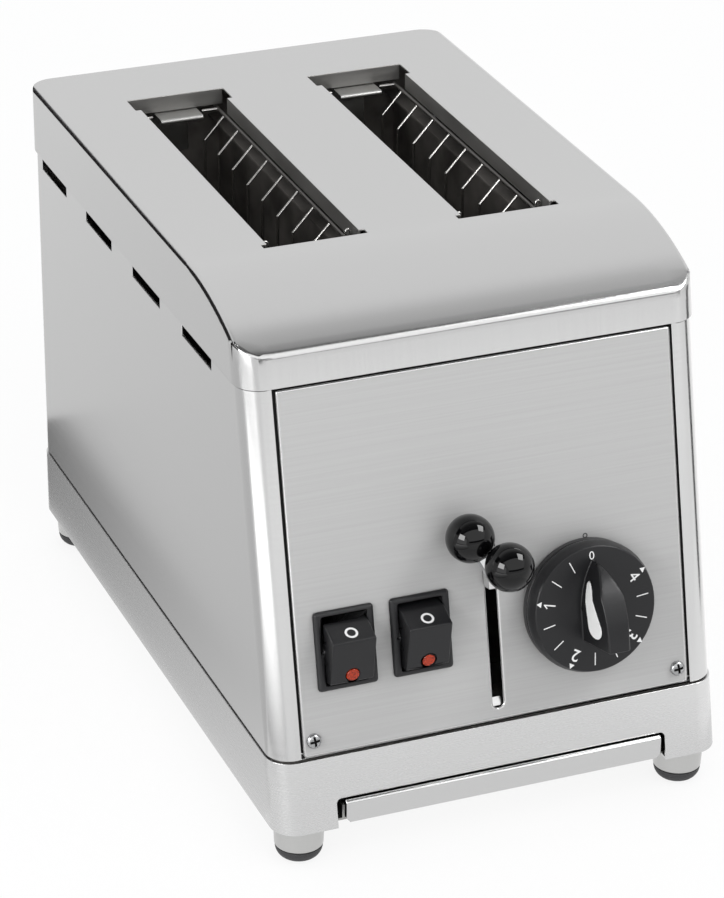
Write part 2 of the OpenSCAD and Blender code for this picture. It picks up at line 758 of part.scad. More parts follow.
// Bar that holds the tops of the guide rods, on two arms from the front bulkhead
module guide_bridge() color(steel) {
  arm_z = panel_z(bridge_h + 3, rail_d);
  difference() {
    union() {
      on_panel() box([-guide_x - 9, bridge_h, rail_d - 8], [guide_x + 9, bridge_h + 6, rail_d + 8]);
      for (s = [0, 1]) mirror([s, 0, 0])
        box([guide_x + 6, panel_y(bridge_h, rail_d), arm_z - 5],
          [guide_x + 8, y_front + front_wall_y, arm_z + 5]);
    }
    guide_pair(guide_dia / 2 + running_gap, guide_low, bridge_h + 30);
  }
}

module lift_carriage() color("#b8bbbe") {
  difference() {
    on_panel() box([-carriage_half, carriage_low, carriage_back],
      [carriage_half, carriage_high, carriage_front]);
    guide_pair(bush_r + running_gap, guide_low, bridge_h);
  }
}

module guide_bushes() color("ivory") {
  difference() {
    guide_pair(bush_r, carriage_low, carriage_high);
    guide_pair(guide_dia / 2 + running_gap, guide_low, bridge_h);
  }
}

module handle_pair(r, more = 0) {
  rod_between(panel_point(handle_seat_inner), panel_point(ball_inner_at), r, more);
  rod_between(panel_point(handle_seat_outer), panel_point(ball_outer_at), r, more);
}

// Flat strip through the lever slot, with a foot on the carriage and a nose outside
module lift_arm() color(bright_steel) {
  foot_half = 8;
  nose_half = handle_rod_dia / 2 + 1;
  difference() {
    on_panel() {
      box([-arm_half, arm_low, carriage_front], [arm_half, arm_high, arm_out - 2]);
      box([-foot_half, carriage_low, carriage_front], [foot_half, arm_high, carriage_front + 2]);
      box([-nose_half, arm_low, 1.2], [nose_half, arm_high, arm_out]);
    }
    handle_pair(handle_rod_dia / 2 + running_gap);
  }
}

module handle_rods() color("whitesmoke") handle_pair(handle_rod_dia / 2);

// Ball turned about its rod's axis, with a blind hole to its centre
module ball_knob(seat, at) color("#1c1c1c") {
  v = panel_point(at) - panel_point(seat);
  translate(panel_point(at)) rotate([0, acos(v[2] / norm(v)), atan2(v[1], v[0])])
    rotate_extrude($fn = 96) difference() {
      circle(ball_r, $fn = 96);
      translate([-2 * ball_r, -2 * ball_r]) square([2 * ball_r, 4 * ball_r]);
      translate([0, -2 * ball_r])
        square([handle_rod_dia / 2 + running_gap, 2 * ball_r + running_gap]);
    }
}

// Carrier strip along the slot with cross wires that hold the slice
module bread_rack(s) color(bright_steel) {
  wire_half = guard_half - 2.5;
  rear = slot_front + slot_l - 4;
  wire_first = slot_front + 6;
  wire_step = 20;
  difference() {
    box([s * slot_x - rack_t / 2, y_front, rack_z], [s * slot_x + rack_t / 2, y_front + rear, rack_z + rack_h]);
    on_panel() box([-body_w, -top_z, carriage_back], [body_w, 2 * top_z, body_d]);
  }
  for (y = [wire_first : wire_step : rear - 2])
    translate([s * slot_x - wire_half, y_front + y, rack_z + rack_h - bar_r]) rotate([0, 90, 0])
      cylinder(h = 2 * wire_half, r = bar_r);
}

// Rocker switches

pivot_d = 0.5;
pin_r = 1.5;
pin_half = cutout_w / 2 - 0.8;
cavity_half = rocker_w / 2 + 0.4;
cavity_h = 2 * rocker_half_h + 1.8;
cavity_back = -7.4 - rocker_half_h * sin(rocker_turn);
housing_back = cavity_back - 10;
lens_r = 2.75;
lens_h = -9.6;
ridge_h = 5.9;
ridge_d = 12.7;
low_d = 5.6;
high_h = 11;
high_d = 4.8;

// Snap-in housing with its bezel, open in front for the rocker
module rocker_housing(x) color(dark_plastic) {
  rim = 1.2;
  on_panel(x, control_h) difference() {
    union() {
      box([fit_gap - cutout_w / 2, fit_gap - cutout_h / 2, housing_back],
        [cutout_w / 2 - fit_gap, cutout_h / 2 - fit_gap, past / 2]);
      hull() {
        linear_extrude(bezel_t / 2) square([bezel_w, bezel_h], center = true);
        linear_extrude(bezel_t) square([bezel_w - 2 * rim, bezel_h - 2 * rim], center = true);
      }
    }
    box([-cavity_half, -cavity_h / 2, cavity_back], [cavity_half, cavity_h / 2, bezel_t + past]);
    translate([-pin_half - 0.2, 0, pivot_d]) rotate([0, 90, 0])
      cylinder(h = 2 * pin_half + 0.4, r = pin_r + running_gap);
  }
}

// Side view of the rocker at off: short steep face above the ridge, long face below it
module rocker_side() {
  intersection() {
    polygon([[-rocker_half_h, -6], [rocker_half_h, -6], [high_h, high_d], [ridge_h, ridge_d],
      [-rocker_half_h, low_d]]);
    translate([0, pivot_d]) circle(rocker_half_h + 0.5);
  }
}

lens_tilt = atan2(ridge_d - low_d, ridge_h + rocker_half_h);

// Place on the rocker's long face where the lens sits
module lens_place(x, sink) {
  on_panel(x, control_h) translate([0, lens_h, ridge_d - (ridge_h - lens_h) * tan(lens_tilt)])
    rotate([lens_tilt, 0, 0]) translate([0, 0, -sink]) children();
}

module rocker(x) color("#262626") {
  difference() {
    union() {
      on_panel(x, control_h) rotate([90, 0, 90]) translate([0, 0, -rocker_w / 2])
        linear_extrude(rocker_w) rocker_side();
      on_panel(x - pin_half, control_h, pivot_d) rotate([0, 90, 0])
        cylinder(h = 2 * pin_half, r = pin_r);
    }
    lens_place(x, 1.5) cylinder(h = 4, r = lens_r + fit_gap);
  }
}

module rocker_lens(x) color("orangered") lens_place(x, 1.5) cylinder(h = 1.8, r = lens_r);

// Timer

timer_depth = -20;
timer_half = 20;
shaft_top = knob_top + 4;

// Clockwork timer on the back of the panel, with a threaded neck through it
module timer_body() color("#8f9296") {
  on_panel(timer_x, control_h) difference() {
    union() {
      box([-timer_half, -timer_half, timer_depth], [timer_half, timer_half, -sheet_t - 3]);
      translate([0, 0, timer_depth]) cylinder(h = -sheet_t - timer_depth, r = 11);
      translate([0, 0, timer_depth]) cylinder(h = -timer_depth + 0.8, r = timer_hole_r - fit_gap);
    }
    translate([0, 0, timer_depth + 4]) cylinder(h = -2 * timer_depth, r = shaft_dia / 2 + running_gap);
  }
}

module timer_shaft() color(bright_steel) {
  on_panel(timer_x, control_h, timer_depth + 4.3)
    cylinder(h = shaft_top - timer_depth - 4.3, r = shaft_dia / 2);
}

// Plan of the grip: two arcs that meet in a point, and a straight blunt end
module grip_plan() {
  arc_r = (grip_tip ^ 2 + grip_half ^ 2) / (2 * grip_half);
  intersection() {
    translate([grip_half - arc_r, 0]) circle(arc_r, $fn = 180);
    translate([arc_r - grip_half, 0]) circle(arc_r, $fn = 180);
    translate([-grip_half, 0]) square([2 * grip_half, grip_tip + past]);
  }
  translate([-grip_half, -grip_tail]) square([2 * grip_half, grip_tail + 0.1]);
}

// Side view of the grip: highest at the blunt end, rounded down to the point
module grip_side() {
  crest = 2.5 - grip_tail;
  intersection() {
    translate([crest, 0]) scale([grip_tip - crest, grip_h]) circle(1, $fn = 96);
    translate([crest, -past]) square([grip_tip - crest + past, grip_h + 2 * past]);
  }
  translate([-grip_tail - past, -past]) square([crest + grip_tail + past, grip_h + past]);
}

// Section across the grip: slanting flanks and a rounded top
module grip_section() {
  top_half = grip_half - 1.3;
  top_r = 1.5;
  polygon([[-grip_half, -past], [grip_half, -past], [grip_half, 0], [top_half, grip_h - top_r],
    [-top_half, grip_h - top_r], [-grip_half, 0]]);
  translate([top_r - top_half, grip_h - 2 * top_r]) square([2 * (top_half - top_r), 2 * top_r]);
  for (x = [top_r - top_half, top_half - top_r]) translate([x, grip_h - top_r]) circle(top_r);
}

module grip() {
  long = 4 * grip_tip;
  intersection() {
    translate([0, 0, knob_top - past / 2]) linear_extrude(grip_h + past) grip_plan();
    translate([-grip_tip, 0, knob_top]) rotate([90, 0, 90]) linear_extrude(2 * grip_tip) grip_side();
    translate([0, long / 2, knob_top]) rotate([90, 0, 0]) linear_extrude(long) grip_section();
  }
}

// Side view of the inlay: a drop between a small and a large circle
module drop_side() {
  small = [12.2, 5.2];
  large = [-4.5, 10];
  small_r = 1.3;
  large_r = 4.3;
  hull() {
    translate(small) circle(small_r);
    translate(large) circle(large_r);
  }
}

// White inlay in the grip's left flank, clear of the shaft
module marker_prism() {
  translate([-shaft_dia / 2 - 0.6 - grip_tip, 0, knob_top]) rotate([90, 0, 90])
    linear_extrude(grip_tip) drop_side();
}

module timer_knob() color("#2a2a2a") {
  r = knob_dia / 2;
  ring_top = knob_low + knob_ring_h;
  groove_top = ring_top + knob_groove_w;
  on_panel(timer_x, control_h) difference() {
    union() {
      rotate_extrude($fn = 96) polygon([[0, knob_low], [r - 0.3, knob_low], [r - 0.3, ring_top],
        [r - knob_groove_t, ring_top], [r - knob_groove_t, groove_top], [r, groove_top],
        [r, knob_top - knob_bevel_h], [r - knob_bevel_in, knob_top], [0, knob_top]]);
      difference() {
        grip();
        marker_prism();
      }
    }
    translate([0, 0, knob_low - past]) cylinder(h = shaft_top - knob_low + past, r = shaft_dia / 2 + running_gap);
  }
}

module knob_marker() color("white") on_panel(timer_x, control_h) intersection() {
  grip();
  marker_prism();
}

// Supply

module terminal_block() color("ivory") {
  half = 20;
  box([-half, chamber_high + sheet_t + fit_gap, body_z + 6], [half, chamber_high + sheet_t + 12, body_z + 24]);
}

// Screwed gland in the back panel for the supply lead
module cord_gland() color(dark_plastic) {
  face = y_back + cover_grow;
  nut_r = 9;
  translate([gland_x, face, gland_z]) rotate([-90, 0, 0]) difference() {
    union() {
      cylinder(h = 5, r = nut_r, $fn = 6);
      cylinder(h = gland_out, r1 = gland_r + 1.5, r2 = gland_r - 0.5);
      translate([0, 0, -8]) cylinder(h = 9, r = gland_r);
      translate([0, 0, -7]) cylinder(h = 7 - sheet_t - 2 * fit_gap - sheet_t, r = nut_r, $fn = 6);
    }
    translate([0, 0, -9]) cylinder(h = gland_out + 10, r = gland_bore / 2);
  }
}

base_frame();
chassis_deck();
body_shell();
back_panel();
top_cover();
front_panel();
panel_screws();
back_screws();
tray_rails();
crumb_tray();
leg(-1, leg_front_y);  // leg_front_left
leg(1, leg_front_y);  // leg_front_right
leg(-1, leg_back_y);  // leg_back_left
leg(1, leg_back_y);  // leg_back_right
foot_cap(-1, leg_front_y);  // foot_cap_front_left
foot_cap(1, leg_front_y);  // foot_cap_front_right
foot_cap(-1, leg_back_y);  // foot_cap_back_left
foot_cap(1, leg_back_y);  // foot_cap_back_right
leg_nuts();
front_bulkhead();
rear_bulkhead();
slot_brackets();
reflector(-1, -1);  // reflector_left_outer
reflector(-1, 1);  // reflector_left_inner
reflector(1, -1);  // reflector_right_inner
reflector(1, 1);  // reflector_right_outer
heater(-1, -1);  // heater_left_outer
heater(-1, 1);  // heater_left_inner
heater(1, -1);  // heater_right_inner
heater(1, 1);  // heater_right_outer
guard(-1, -1);  // guard_left_outer
guard(-1, 1);  // guard_left_inner
guard(1, -1);  // guard_right_inner
guard(1, 1);  // guard_right_outer
guide_rods();
guide_foot();
guide_bridge();
lift_carriage();
guide_bushes();
lift_arm();
handle_rods();
ball_knob(handle_seat_inner, ball_inner_at);  // ball_knob_inner
ball_knob(handle_seat_outer, ball_outer_at);  // ball_knob_outer
bread_rack(-1);  // bread_rack_left
bread_rack(1);  // bread_rack_right
rocker_housing(rocker_left_x);  // rocker_housing_left
rocker_housing(rocker_right_x);  // rocker_housing_right
rocker(rocker_left_x);  // rocker_left
rocker(rocker_right_x);  // rocker_right
rocker_lens(rocker_left_x);  // rocker_lens_left
rocker_lens(rocker_right_x);  // rocker_lens_right
timer_body();
timer_shaft();
timer_knob();
knob_marker();
terminal_block();
cord_gland();
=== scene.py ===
import math

import bmesh
import bpy
from mathutils import Matrix, Vector


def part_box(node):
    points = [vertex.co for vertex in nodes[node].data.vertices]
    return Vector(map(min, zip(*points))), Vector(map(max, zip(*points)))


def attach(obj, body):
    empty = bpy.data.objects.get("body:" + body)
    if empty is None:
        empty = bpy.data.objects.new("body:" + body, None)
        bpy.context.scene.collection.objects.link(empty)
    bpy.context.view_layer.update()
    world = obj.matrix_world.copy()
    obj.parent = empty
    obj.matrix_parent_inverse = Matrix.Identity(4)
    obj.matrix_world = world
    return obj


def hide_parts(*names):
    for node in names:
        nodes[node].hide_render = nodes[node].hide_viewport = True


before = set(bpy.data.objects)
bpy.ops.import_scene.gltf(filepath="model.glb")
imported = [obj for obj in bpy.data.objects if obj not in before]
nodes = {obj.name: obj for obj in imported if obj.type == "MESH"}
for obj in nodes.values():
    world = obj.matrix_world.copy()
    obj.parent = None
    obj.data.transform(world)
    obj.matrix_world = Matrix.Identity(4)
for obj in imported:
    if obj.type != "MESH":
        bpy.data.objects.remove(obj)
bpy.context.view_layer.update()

# Camera. It stands to the left of the control panel and looks down on the toaster through a
# long lens, so that the casing's upright edges stay nearly parallel.
camera = bpy.data.objects.new("camera", bpy.data.cameras.new("camera"))
camera.location = (-0.5324, -1.3212, 0.8164)
camera.rotation_euler = [math.radians(angle) for angle in (63.35, -0.348, -21.704)]
camera.data.lens = 148.3
camera.data.sensor_width = 36
bpy.context.collection.objects.link(camera)
bpy.context.scene.camera = camera
bpy.context.scene.view_settings.view_transform = "Standard"


# Studio. A pale sheet of paper lies under the toaster, and soft white cloths stand round it.
# The cloths are what the steel mirrors: bright in front and on the left, dimmer overhead.
def linear(code):
    """An sRGB hex colour as linear red, green, blue and alpha."""
    parts = [int(code[k:k + 2], 16) / 255 for k in (1, 3, 5)]
    return tuple(p / 12.92 if p <= 0.04045 else ((p + 0.055) / 1.055) ** 2.4 for p in parts) + (1.0,)


def add_node(tree, kind, links=(), inputs=None, **settings):
    """Adds a node with its settings, its input values and its links (source, output, input)."""
    node = tree.nodes.new(kind)
    for name, value in settings.items():
        setattr(node, name, value)
    for name, value in (inputs or {}).items():
        node.inputs[name].default_value = value
    for source, output, name in links:
        tree.links.new(source.outputs[output], node.inputs[name])
    return node


def start_material(name):
    """A new material with its tree and its shader."""
    material = bpy.data.materials.new(name)
    material.use_nodes = True
    return material, material.node_tree, material.node_tree.nodes["Principled BSDF"]


def make_object(name, verts, faces, material=None):
    """A mesh object in the frame of the CAD model."""
    mesh = bpy.data.meshes.new(name)
    mesh.from_pydata(verts, [], faces)
    mesh.update()
    made = bpy.data.objects.new(name, mesh)
    bpy.context.collection.objects.link(made)
    if material:
        mesh.materials.append(material)
    return made


def seen_share(tree):
    """1 for rays that look at a surface, straight or by way of metal or glass, and 0 for others."""
    rays = add_node(tree, "ShaderNodeLightPath")
    seen = add_node(tree, "ShaderNodeMath", [(rays, "Is Camera Ray", 0), (rays, "Is Glossy Ray", 1)],
                    operation="MAXIMUM")
    return add_node(tree, "ShaderNodeMath", [(seen, 0, 0), (rays, "Is Transmission Ray", 1)],
                    operation="MAXIMUM")


daylight = 0.95
world = bpy.data.worlds.new("studio")
bpy.context.scene.world = world
world.use_nodes = True
tree = world.node_tree
light = tree.nodes["Background"]
light.inputs["Color"].default_value = linear("#F4F5F6")
light.inputs["Strength"].default_value = daylight
white = add_node(tree, "ShaderNodeBackground", inputs={"Color": linear("#FFFFFF"), "Strength": 1.0})
both = add_node(tree, "ShaderNodeMixShader", [(seen_share(tree), 0, 0), (light, 0, 1), (white, 0, 2)])
tree.links.new(both.outputs[0], tree.nodes["World Output"].inputs["Surface"])

# White studio paper: flat, without any shine. Most of its white is its own and the rest is the
# light that falls on it, so the toaster keeps a soft shadow.
floor_half = 6.0
paper_glow = 0.86
paper, tree, shader = start_material("white_studio_paper")
shader.inputs["Base Color"].default_value = linear("#FDFDFD")
shader.inputs["Roughness"].default_value = 0.9
shader.inputs["Specular IOR Level"].default_value = 0.0
share = add_node(tree, "ShaderNodeMath", [(seen_share(tree), 0, 0)], {1: paper_glow},
                 operation="MULTIPLY")
glow = add_node(tree, "ShaderNodeEmission", inputs={"Color": linear("#FFFFFF"), "Strength": 1.0})
both = add_node(tree, "ShaderNodeMixShader", [(share, 0, 0), (shader, 0, 1), (glow, 0, 2)])
tree.links.new(both.outputs[0], tree.nodes["Material Output"].inputs["Surface"])
corners = [(-floor_half, -floor_half, 0), (floor_half, -floor_half, 0),
           (floor_half, floor_half, 0), (-floor_half, floor_half, 0)]
floor = make_object("studio_floor", corners, [(0, 1, 2, 3)], paper)


def hang_cloth(name, corners, first, last, lights=False):
    """A glowing cloth between four corners; its glow runs from the first edge to the last."""
    glow_material = bpy.data.materials.new(name)
    glow_material.use_nodes = True
    glow_tree = glow_material.node_tree
    glow_tree.nodes.clear()
    shine = add_node(glow_tree, "ShaderNodeEmission",
                     inputs={"Color": linear("#FFFFFF"), "Strength": first})
    if first != last:
        place = add_node(glow_tree, "ShaderNodeTexCoord")
        split = add_node(glow_tree, "ShaderNodeSeparateXYZ", [(place, "UV", 0)])
        level = add_node(glow_tree, "ShaderNodeMapRange", [(split, "Y", "Value")],
                         {"To Min": first, "To Max": last})
        glow_tree.links.new(level.outputs[0], shine.inputs["Strength"])
    add_node(glow_tree, "ShaderNodeOutputMaterial", [(shine, 0, "Surface")])
    cloth = make_object(name, corners, [(0, 1, 2, 3)], glow_material)
    layer = cloth.data.uv_layers.new(name="UVMap")
    for corner, spot in zip(layer.data, ((0, 0), (1, 0), (1, 1), (0, 1))):
        corner.uv = spot
    cloth.visible_camera = False
    cloth.visible_shadow = False
    cloth.visible_diffuse = lights
    cloth.visible_transmission = False


# Overhead the glow runs from dark in front to white at the back. The hood's foot mirrors the dark.
overhead_z = 1.7
overhead_left = -2.2
overhead_right = 2.6
for name, near, far, first, last in (("edge", -0.86, 0.0, 0.02, 0.25),
                                     ("fore", 0.0, 0.5, 0.25, 1.04),
                                     ("back", 0.5, 3.0, 1.04, 1.06)):
    hang_cloth("overhead_cloth_" + name,
               [(overhead_left, near, overhead_z), (overhead_right, near, overhead_z),
                (overhead_right, far, overhead_z), (overhead_left, far, overhead_z)], first, last)

# In front a white cloth brightens the fold over the lip, a dark card draws the fold's lower edge,
# and a cloth on the floor is what the panel, the lip and the skirt mirror.
hang_cloth("front_cloth",
           [(-1.3, -2.6, 0.80), (2.4, -2.6, 0.80), (2.4, -0.85, 1.68), (-1.3, -0.85, 1.68)],
           1.5, 1.5, lights=True)
hang_cloth("front_dark_card",
           [(-1.3, -2.6, 0.44), (2.4, -2.6, 0.44), (2.4, -2.6, 0.78), (-1.3, -2.6, 0.78)], 0.06, 0.06)
hang_cloth("front_floor_cloth",
           [(-0.5, -0.42, 0.01), (1.2, -0.42, 0.01), (3.4, -4.4, 0.01), (-0.9, -4.4, 0.01)], 1.12, 1.6)

# On the floor to the left lie a cloth and two cards, which the front left corner, the left side and
# the skirt mirror.
hang_cloth("left_floor_cloth",
           [(-0.20, -0.10, 0.01), (-0.20, -0.50, 0.01), (-0.8, -1.2, 0.01), (-0.8, -0.2, 0.01)], 0.6, 3.8)
hang_cloth("left_side_card",
           [(-0.9, -0.09, 0.006), (-0.105, -0.09, 0.006), (-0.105, 0.75, 0.006), (-0.9, 0.75, 0.006)],
           0.70, 0.94)
hang_cloth("left_skirt_card",
           [(-0.138, -0.12, 0.008), (-0.104, -0.12, 0.008), (-0.104, 0.26, 0.008), (-0.138, 0.26, 0.008)],
           0.88, 0.2)

# On the right a pale cloth lies on the floor, and a dark flag on it draws a line down the pillar.
hang_cloth("right_floor_cloth",
           [(0.14, -0.4, 0.01), (0.14, 0.6, 0.01), (1.3, 0.6, 0.01), (1.3, -0.4, 0.01)], 1.22, 1.22)
hang_cloth("right_floor_flag",
           [(0.31, -0.165, 0.012), (0.31, -0.11, 0.012), (1.25, 0.0, 0.012), (1.25, -0.35, 0.012)],
           0.04, 0.04)

# A bright cloth lights the left side. The dark card and the flag draw the cover's left edge.
hang_cloth("left_cloth",
           [(-1.65, -2.1, 0.02), (-1.65, -0.3, 0.02), (-1.65, -0.3, 1.1), (-1.65, -2.1, 1.1)],
           2.2, 2.2, lights=True)
hang_cloth("back_left_card",
           [(-1.7, 1.6, 0.0), (-0.25, 1.6, 0.0), (-0.25, 1.6, 0.95), (-1.7, 1.6, 0.95)], 0.02, 0.02)
hang_cloth("hood_flag",
           [(-0.2, -0.145, 0.215), (-0.2, 0.14, 0.215), (-0.2, 0.14, 0.345), (-0.2, -0.145, 0.345)],
           0.02, 0.02)

# Two small bright windows give the ball knobs their highlights.
hang_cloth("left_window",
           [(-0.92, -0.85, 0.42), (-1.15, -0.30, 0.42), (-1.05, -0.26, 0.86), (-0.84, -0.80, 0.86)], 16, 16)
hang_cloth("right_window",
           [(0.55, -0.75, 1.12), (1.05, -0.75, 0.95), (1.05, -0.15, 1.0), (0.55, -0.15, 1.2)], 12, 12)


# Base skirt. It is one stainless sheet folded round the base, with a flange at its foot and at
# its top, and a gate cut in its front for the tray. The leaning front runs on from the panel.
sharp_edge = math.radians(30)


def soften(name, material, body, rounding, segments=2, move=None, rounded=None, cuts=()):
    """A copy of a CAD node with rounded edges, which stands for it. move shifts single corners,
    rounded gives an edge its own rounding, and cuts are planes that split long faces."""
    mesh = bpy.data.meshes.new(name + "_finished")
    shape = bmesh.new()
    shape.from_mesh(nodes[name].data)
    bmesh.ops.remove_doubles(shape, verts=shape.verts, dist=2e-6)
    bmesh.ops.dissolve_limit(shape, angle_limit=math.radians(0.4), verts=shape.verts, edges=shape.edges)
    for point, normal in cuts:
        bmesh.ops.bisect_plane(shape, geom=shape.verts[:] + shape.edges[:] + shape.faces[:],
                               plane_co=point, plane_no=normal)
    weights = shape.edges.layers.float.new("bevel_weight_edge")
    widest = rounding
    for edge in shape.edges:
        if len(edge.link_faces) == 2 and edge.calc_face_angle() > sharp_edge:
            edge[weights] = rounded(edge) if rounded else rounding
            widest = max(widest, edge[weights])
    for edge in shape.edges:
        edge[weights] /= widest
    shape.normal_update()
    for corner in shape.verts:
        if move:
            move(corner)
    for face in shape.faces:
        face.smooth = True
        face.material_index = 0
    shape.to_mesh(mesh)
    shape.free()
    mesh.materials.append(material)
    piece = bpy.data.objects.new(name + "_finished", mesh)
    bpy.context.collection.objects.link(piece)
    bevel = piece.modifiers.new("rounded_edges", "BEVEL")
    bevel.width = widest
    bevel.segments = segments
    bevel.limit_method = "WEIGHT"
    bevel.use_clamp_overlap = False
    bevel.miter_outer = "MITER_ARC"
    piece.modifiers.new("even_normals", "WEIGHTED_NORMAL").keep_sharp = True
    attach(piece, body)
    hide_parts(name)
    return piece


# Satin stainless, rolled and brushed along the sheet: it gives soft, slightly drawn-out
# reflections and a faint uneven gloss. The grain is 0.1 mm and is drawn 0.7 mm wide to show.
def grained_metal(name, grain, colour, low, high):
    """Metal with a grain of a given size in metres along each axis, and its range of roughness."""
    material, tree, shader = start_material(name)
    shader.inputs["Base Color"].default_value = linear(colour)
    shader.inputs["Metallic"].default_value = 1.0
    place = add_node(tree, "ShaderNodeTexCoord")
    spread = add_node(tree, "ShaderNodeMapping", [(place, "Object", "Vector")],
                      {"Scale": tuple(1 / size for size in grain)})
    lines = add_node(tree, "ShaderNodeTexNoise", [(spread, 0, "Vector")], {"Scale": 1.0, "Detail": 3.0})
    gloss = add_node(tree, "ShaderNodeMapRange", [(lines, 0, "Value")],
                     {"From Min": 0.3, "From Max": 0.7, "To Min": low, "To Max": high})
    tree.links.new(gloss.outputs[0], shader.inputs["Roughness"])
    relief = add_node(tree, "ShaderNodeBump", [(lines, 0, "Height")],
                      {"Strength": 0.006, "Distance": 0.0001})
    tree.links.new(relief.outputs[0], shader.inputs["Normal"])
    return material


# The walls show the clearer image. The skirt's sheet is paler and softer.
wall_steel = grained_metal("satin_stainless_walls", (0.09, 0.09, 0.0007), "#C6C6C6", 0.17, 0.21)
skirt_steel = grained_metal("satin_stainless_skirt", (0.09, 0.09, 0.0007), "#CBCBCB", 0.25, 0.29)
skirt_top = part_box("base_frame")[1].z
skirt_rise = 0.0003


def narrow_seam(corner):
    """The skirt's top edge stands a little higher, so that the seam above it is a thin line."""
    if corner.co.z > skirt_top - 0.00001:
        corner.co.z += skirt_rise


soften("base_frame", skirt_steel, "casing", rounding=0.00015, move=narrow_seam)


# Legs. Each is a turned stainless foot, a little narrower below, screwed into the skirt's flange,
# with a moulded rubber cap pressed on its end.
sharp_turn = math.radians(35)


def lathe(name, profile, matrix, material, body, segments=64, replaced=()):
    """A turned piece: pairs of radius and height, revolved about the matrix's own Z axis."""
    verts = []
    faces = []
    rings = []
    for radius, height in profile:
        if radius < 1e-7:
            rings.append([len(verts)])
            verts.append(matrix @ Vector((0, 0, height)))
            continue
        start = len(verts)
        for k in range(segments):
            turn = 2 * math.pi * k / segments
            verts.append(matrix @ Vector((radius * math.cos(turn), radius * math.sin(turn), height)))
        rings.append(list(range(start, start + segments)))
    for one, two in zip(rings, rings[1:]):
        for k in range(segments):
            n = (k + 1) % segments
            if len(one) == 1 and len(two) > 1:
                faces.append((one[0], two[n], two[k]))
            elif len(two) == 1 and len(one) > 1:
                faces.append((one[k], one[n], two[0]))
            elif len(one) > 1:
                faces.append((one[k], one[n], two[n], two[k]))
    piece = make_object(name, verts, faces, material)
    piece.data.polygons.foreach_set("use_smooth", [True] * len(piece.data.polygons))
    piece.data.set_sharp_from_angle(angle=sharp_turn)
    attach(piece, body)
    if replaced:
        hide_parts(*replaced)
    return piece


# Turned stainless: fine rings 0.6 mm wide round the leg, so the light runs down it in a soft upright
# stripe.
turned_steel, tree, shader = start_material("turned_stainless")
shader.inputs["Base Color"].default_value = linear("#BDBDBC")
shader.inputs["Metallic"].default_value = 1.0
place = add_node(tree, "ShaderNodeTexCoord")
ring_width = 0.0006
ring_run = 0.125
spread = add_node(tree, "ShaderNodeMapping", [(place, "Object", "Vector")],
                  {"Scale": (1 / ring_run, 1 / ring_run, 1 / ring_width)})
rings_seen = add_node(tree, "ShaderNodeTexNoise", [(spread, 0, "Vector")], {"Scale": 1.0, "Detail": 2.0})
gloss = add_node(tree, "ShaderNodeMapRange", [(rings_seen, 0, "Value")], {"To Min": 0.22, "To Max": 0.42})
tree.links.new(gloss.outputs[0], shader.inputs["Roughness"])

# Moulded rubber: nearly black and dull, with a fine grit of about 0.4 mm.
foot_rubber, tree, shader = start_material("moulded_rubber")
shader.inputs["Base Color"].default_value = linear("#2E2E30")
shader.inputs["Roughness"].default_value = 0.62
place = add_node(tree, "ShaderNodeTexCoord")
grit_size = 0.0004
grit = add_node(tree, "ShaderNodeTexNoise", [(place, "Object", "Vector")],
                {"Scale": 1 / grit_size, "Detail": 2.0})
relief = add_node(tree, "ShaderNodeBump", [(grit, 0, "Height")], {"Strength": 0.25, "Distance": 0.0002})
tree.links.new(relief.outputs[0], shader.inputs["Normal"])

leg_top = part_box("base_frame")[0].z
leg_edge = 0.0006
leg_gap = 0.0001
shoulder_high = 0.0008
shoulder_wide = 0.0005
stud_r = 0.003
cap_height = 0.0056
cap_flat_r = 0.0050
cap_gap = 0.0002
cap_inset = 0.0007
cap_steps = 8
for corner in ("front_left", "front_right", "back_left", "back_right"):
    low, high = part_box("leg_" + corner)
    cap_low, cap_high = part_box("foot_cap_" + corner)
    place_leg = Matrix.Translation(((low.x + high.x) / 2, (low.y + high.y) / 2, 0))
    top_r = (high.x - low.x) / 2
    foot_r = (cap_high.x - cap_low.x) / 2
    lathe("leg_" + corner + "_turned",
          [(0, cap_height), (foot_r - leg_edge, cap_height), (foot_r, cap_height + leg_edge),
           (top_r, leg_top - shoulder_high), (top_r - shoulder_wide, leg_top - leg_gap),
           (stud_r, leg_top - leg_gap), (stud_r, high.z), (0, high.z)],
          place_leg, turned_steel, "casing", replaced=("leg_" + corner,))
    dome = [(0, 0.0), (cap_flat_r, 0.0)]
    for k in range(1, cap_steps + 1):
        turn = k / cap_steps * math.pi / 2
        dome.append((cap_flat_r + (foot_r - cap_gap - cap_flat_r) * math.sin(turn),
                     (cap_height - cap_gap) * (1 - math.cos(turn))))
    dome += [(foot_r - cap_inset, cap_height), (0, cap_height)]
    lathe("foot_cap_" + corner + "_moulded", dome, place_leg, foot_rubber, "casing",
          replaced=("foot_cap_" + corner,))


def dress(material, *names):
    """Gives CAD nodes a finish."""
    for name in names:
        node = nodes[name]
        if not node.material_slots:
            node.data.materials.append(material)
        for part in node.material_slots:
            part.material = material


# Zinc-plated steel of nuts and screws: bright and cool, with clouds of about 2 mm.
plated_steel, tree, shader = start_material("zinc_plated_steel")
shader.inputs["Base Color"].default_value = linear("#A2A3A4")
shader.inputs["Metallic"].default_value = 1.0
place = add_node(tree, "ShaderNodeTexCoord")
cloud_size = 0.002
cloud = add_node(tree, "ShaderNodeTexNoise", [(place, "Object", "Vector")], {"Scale": 1 / cloud_size})
gloss = add_node(tree, "ShaderNodeMapRange", [(cloud, 0, "Value")], {"To Min": 0.16, "To Max": 0.36})
tree.links.new(gloss.outputs[0], shader.inputs["Roughness"])
dress(plated_steel, "leg_nuts")

# Crumb tray and its rails. The tray is a folded stainless pan that slides out in front, with a
# flat lip whose top edge is rolled; flat rails on the skirt's foot flanges carry it.

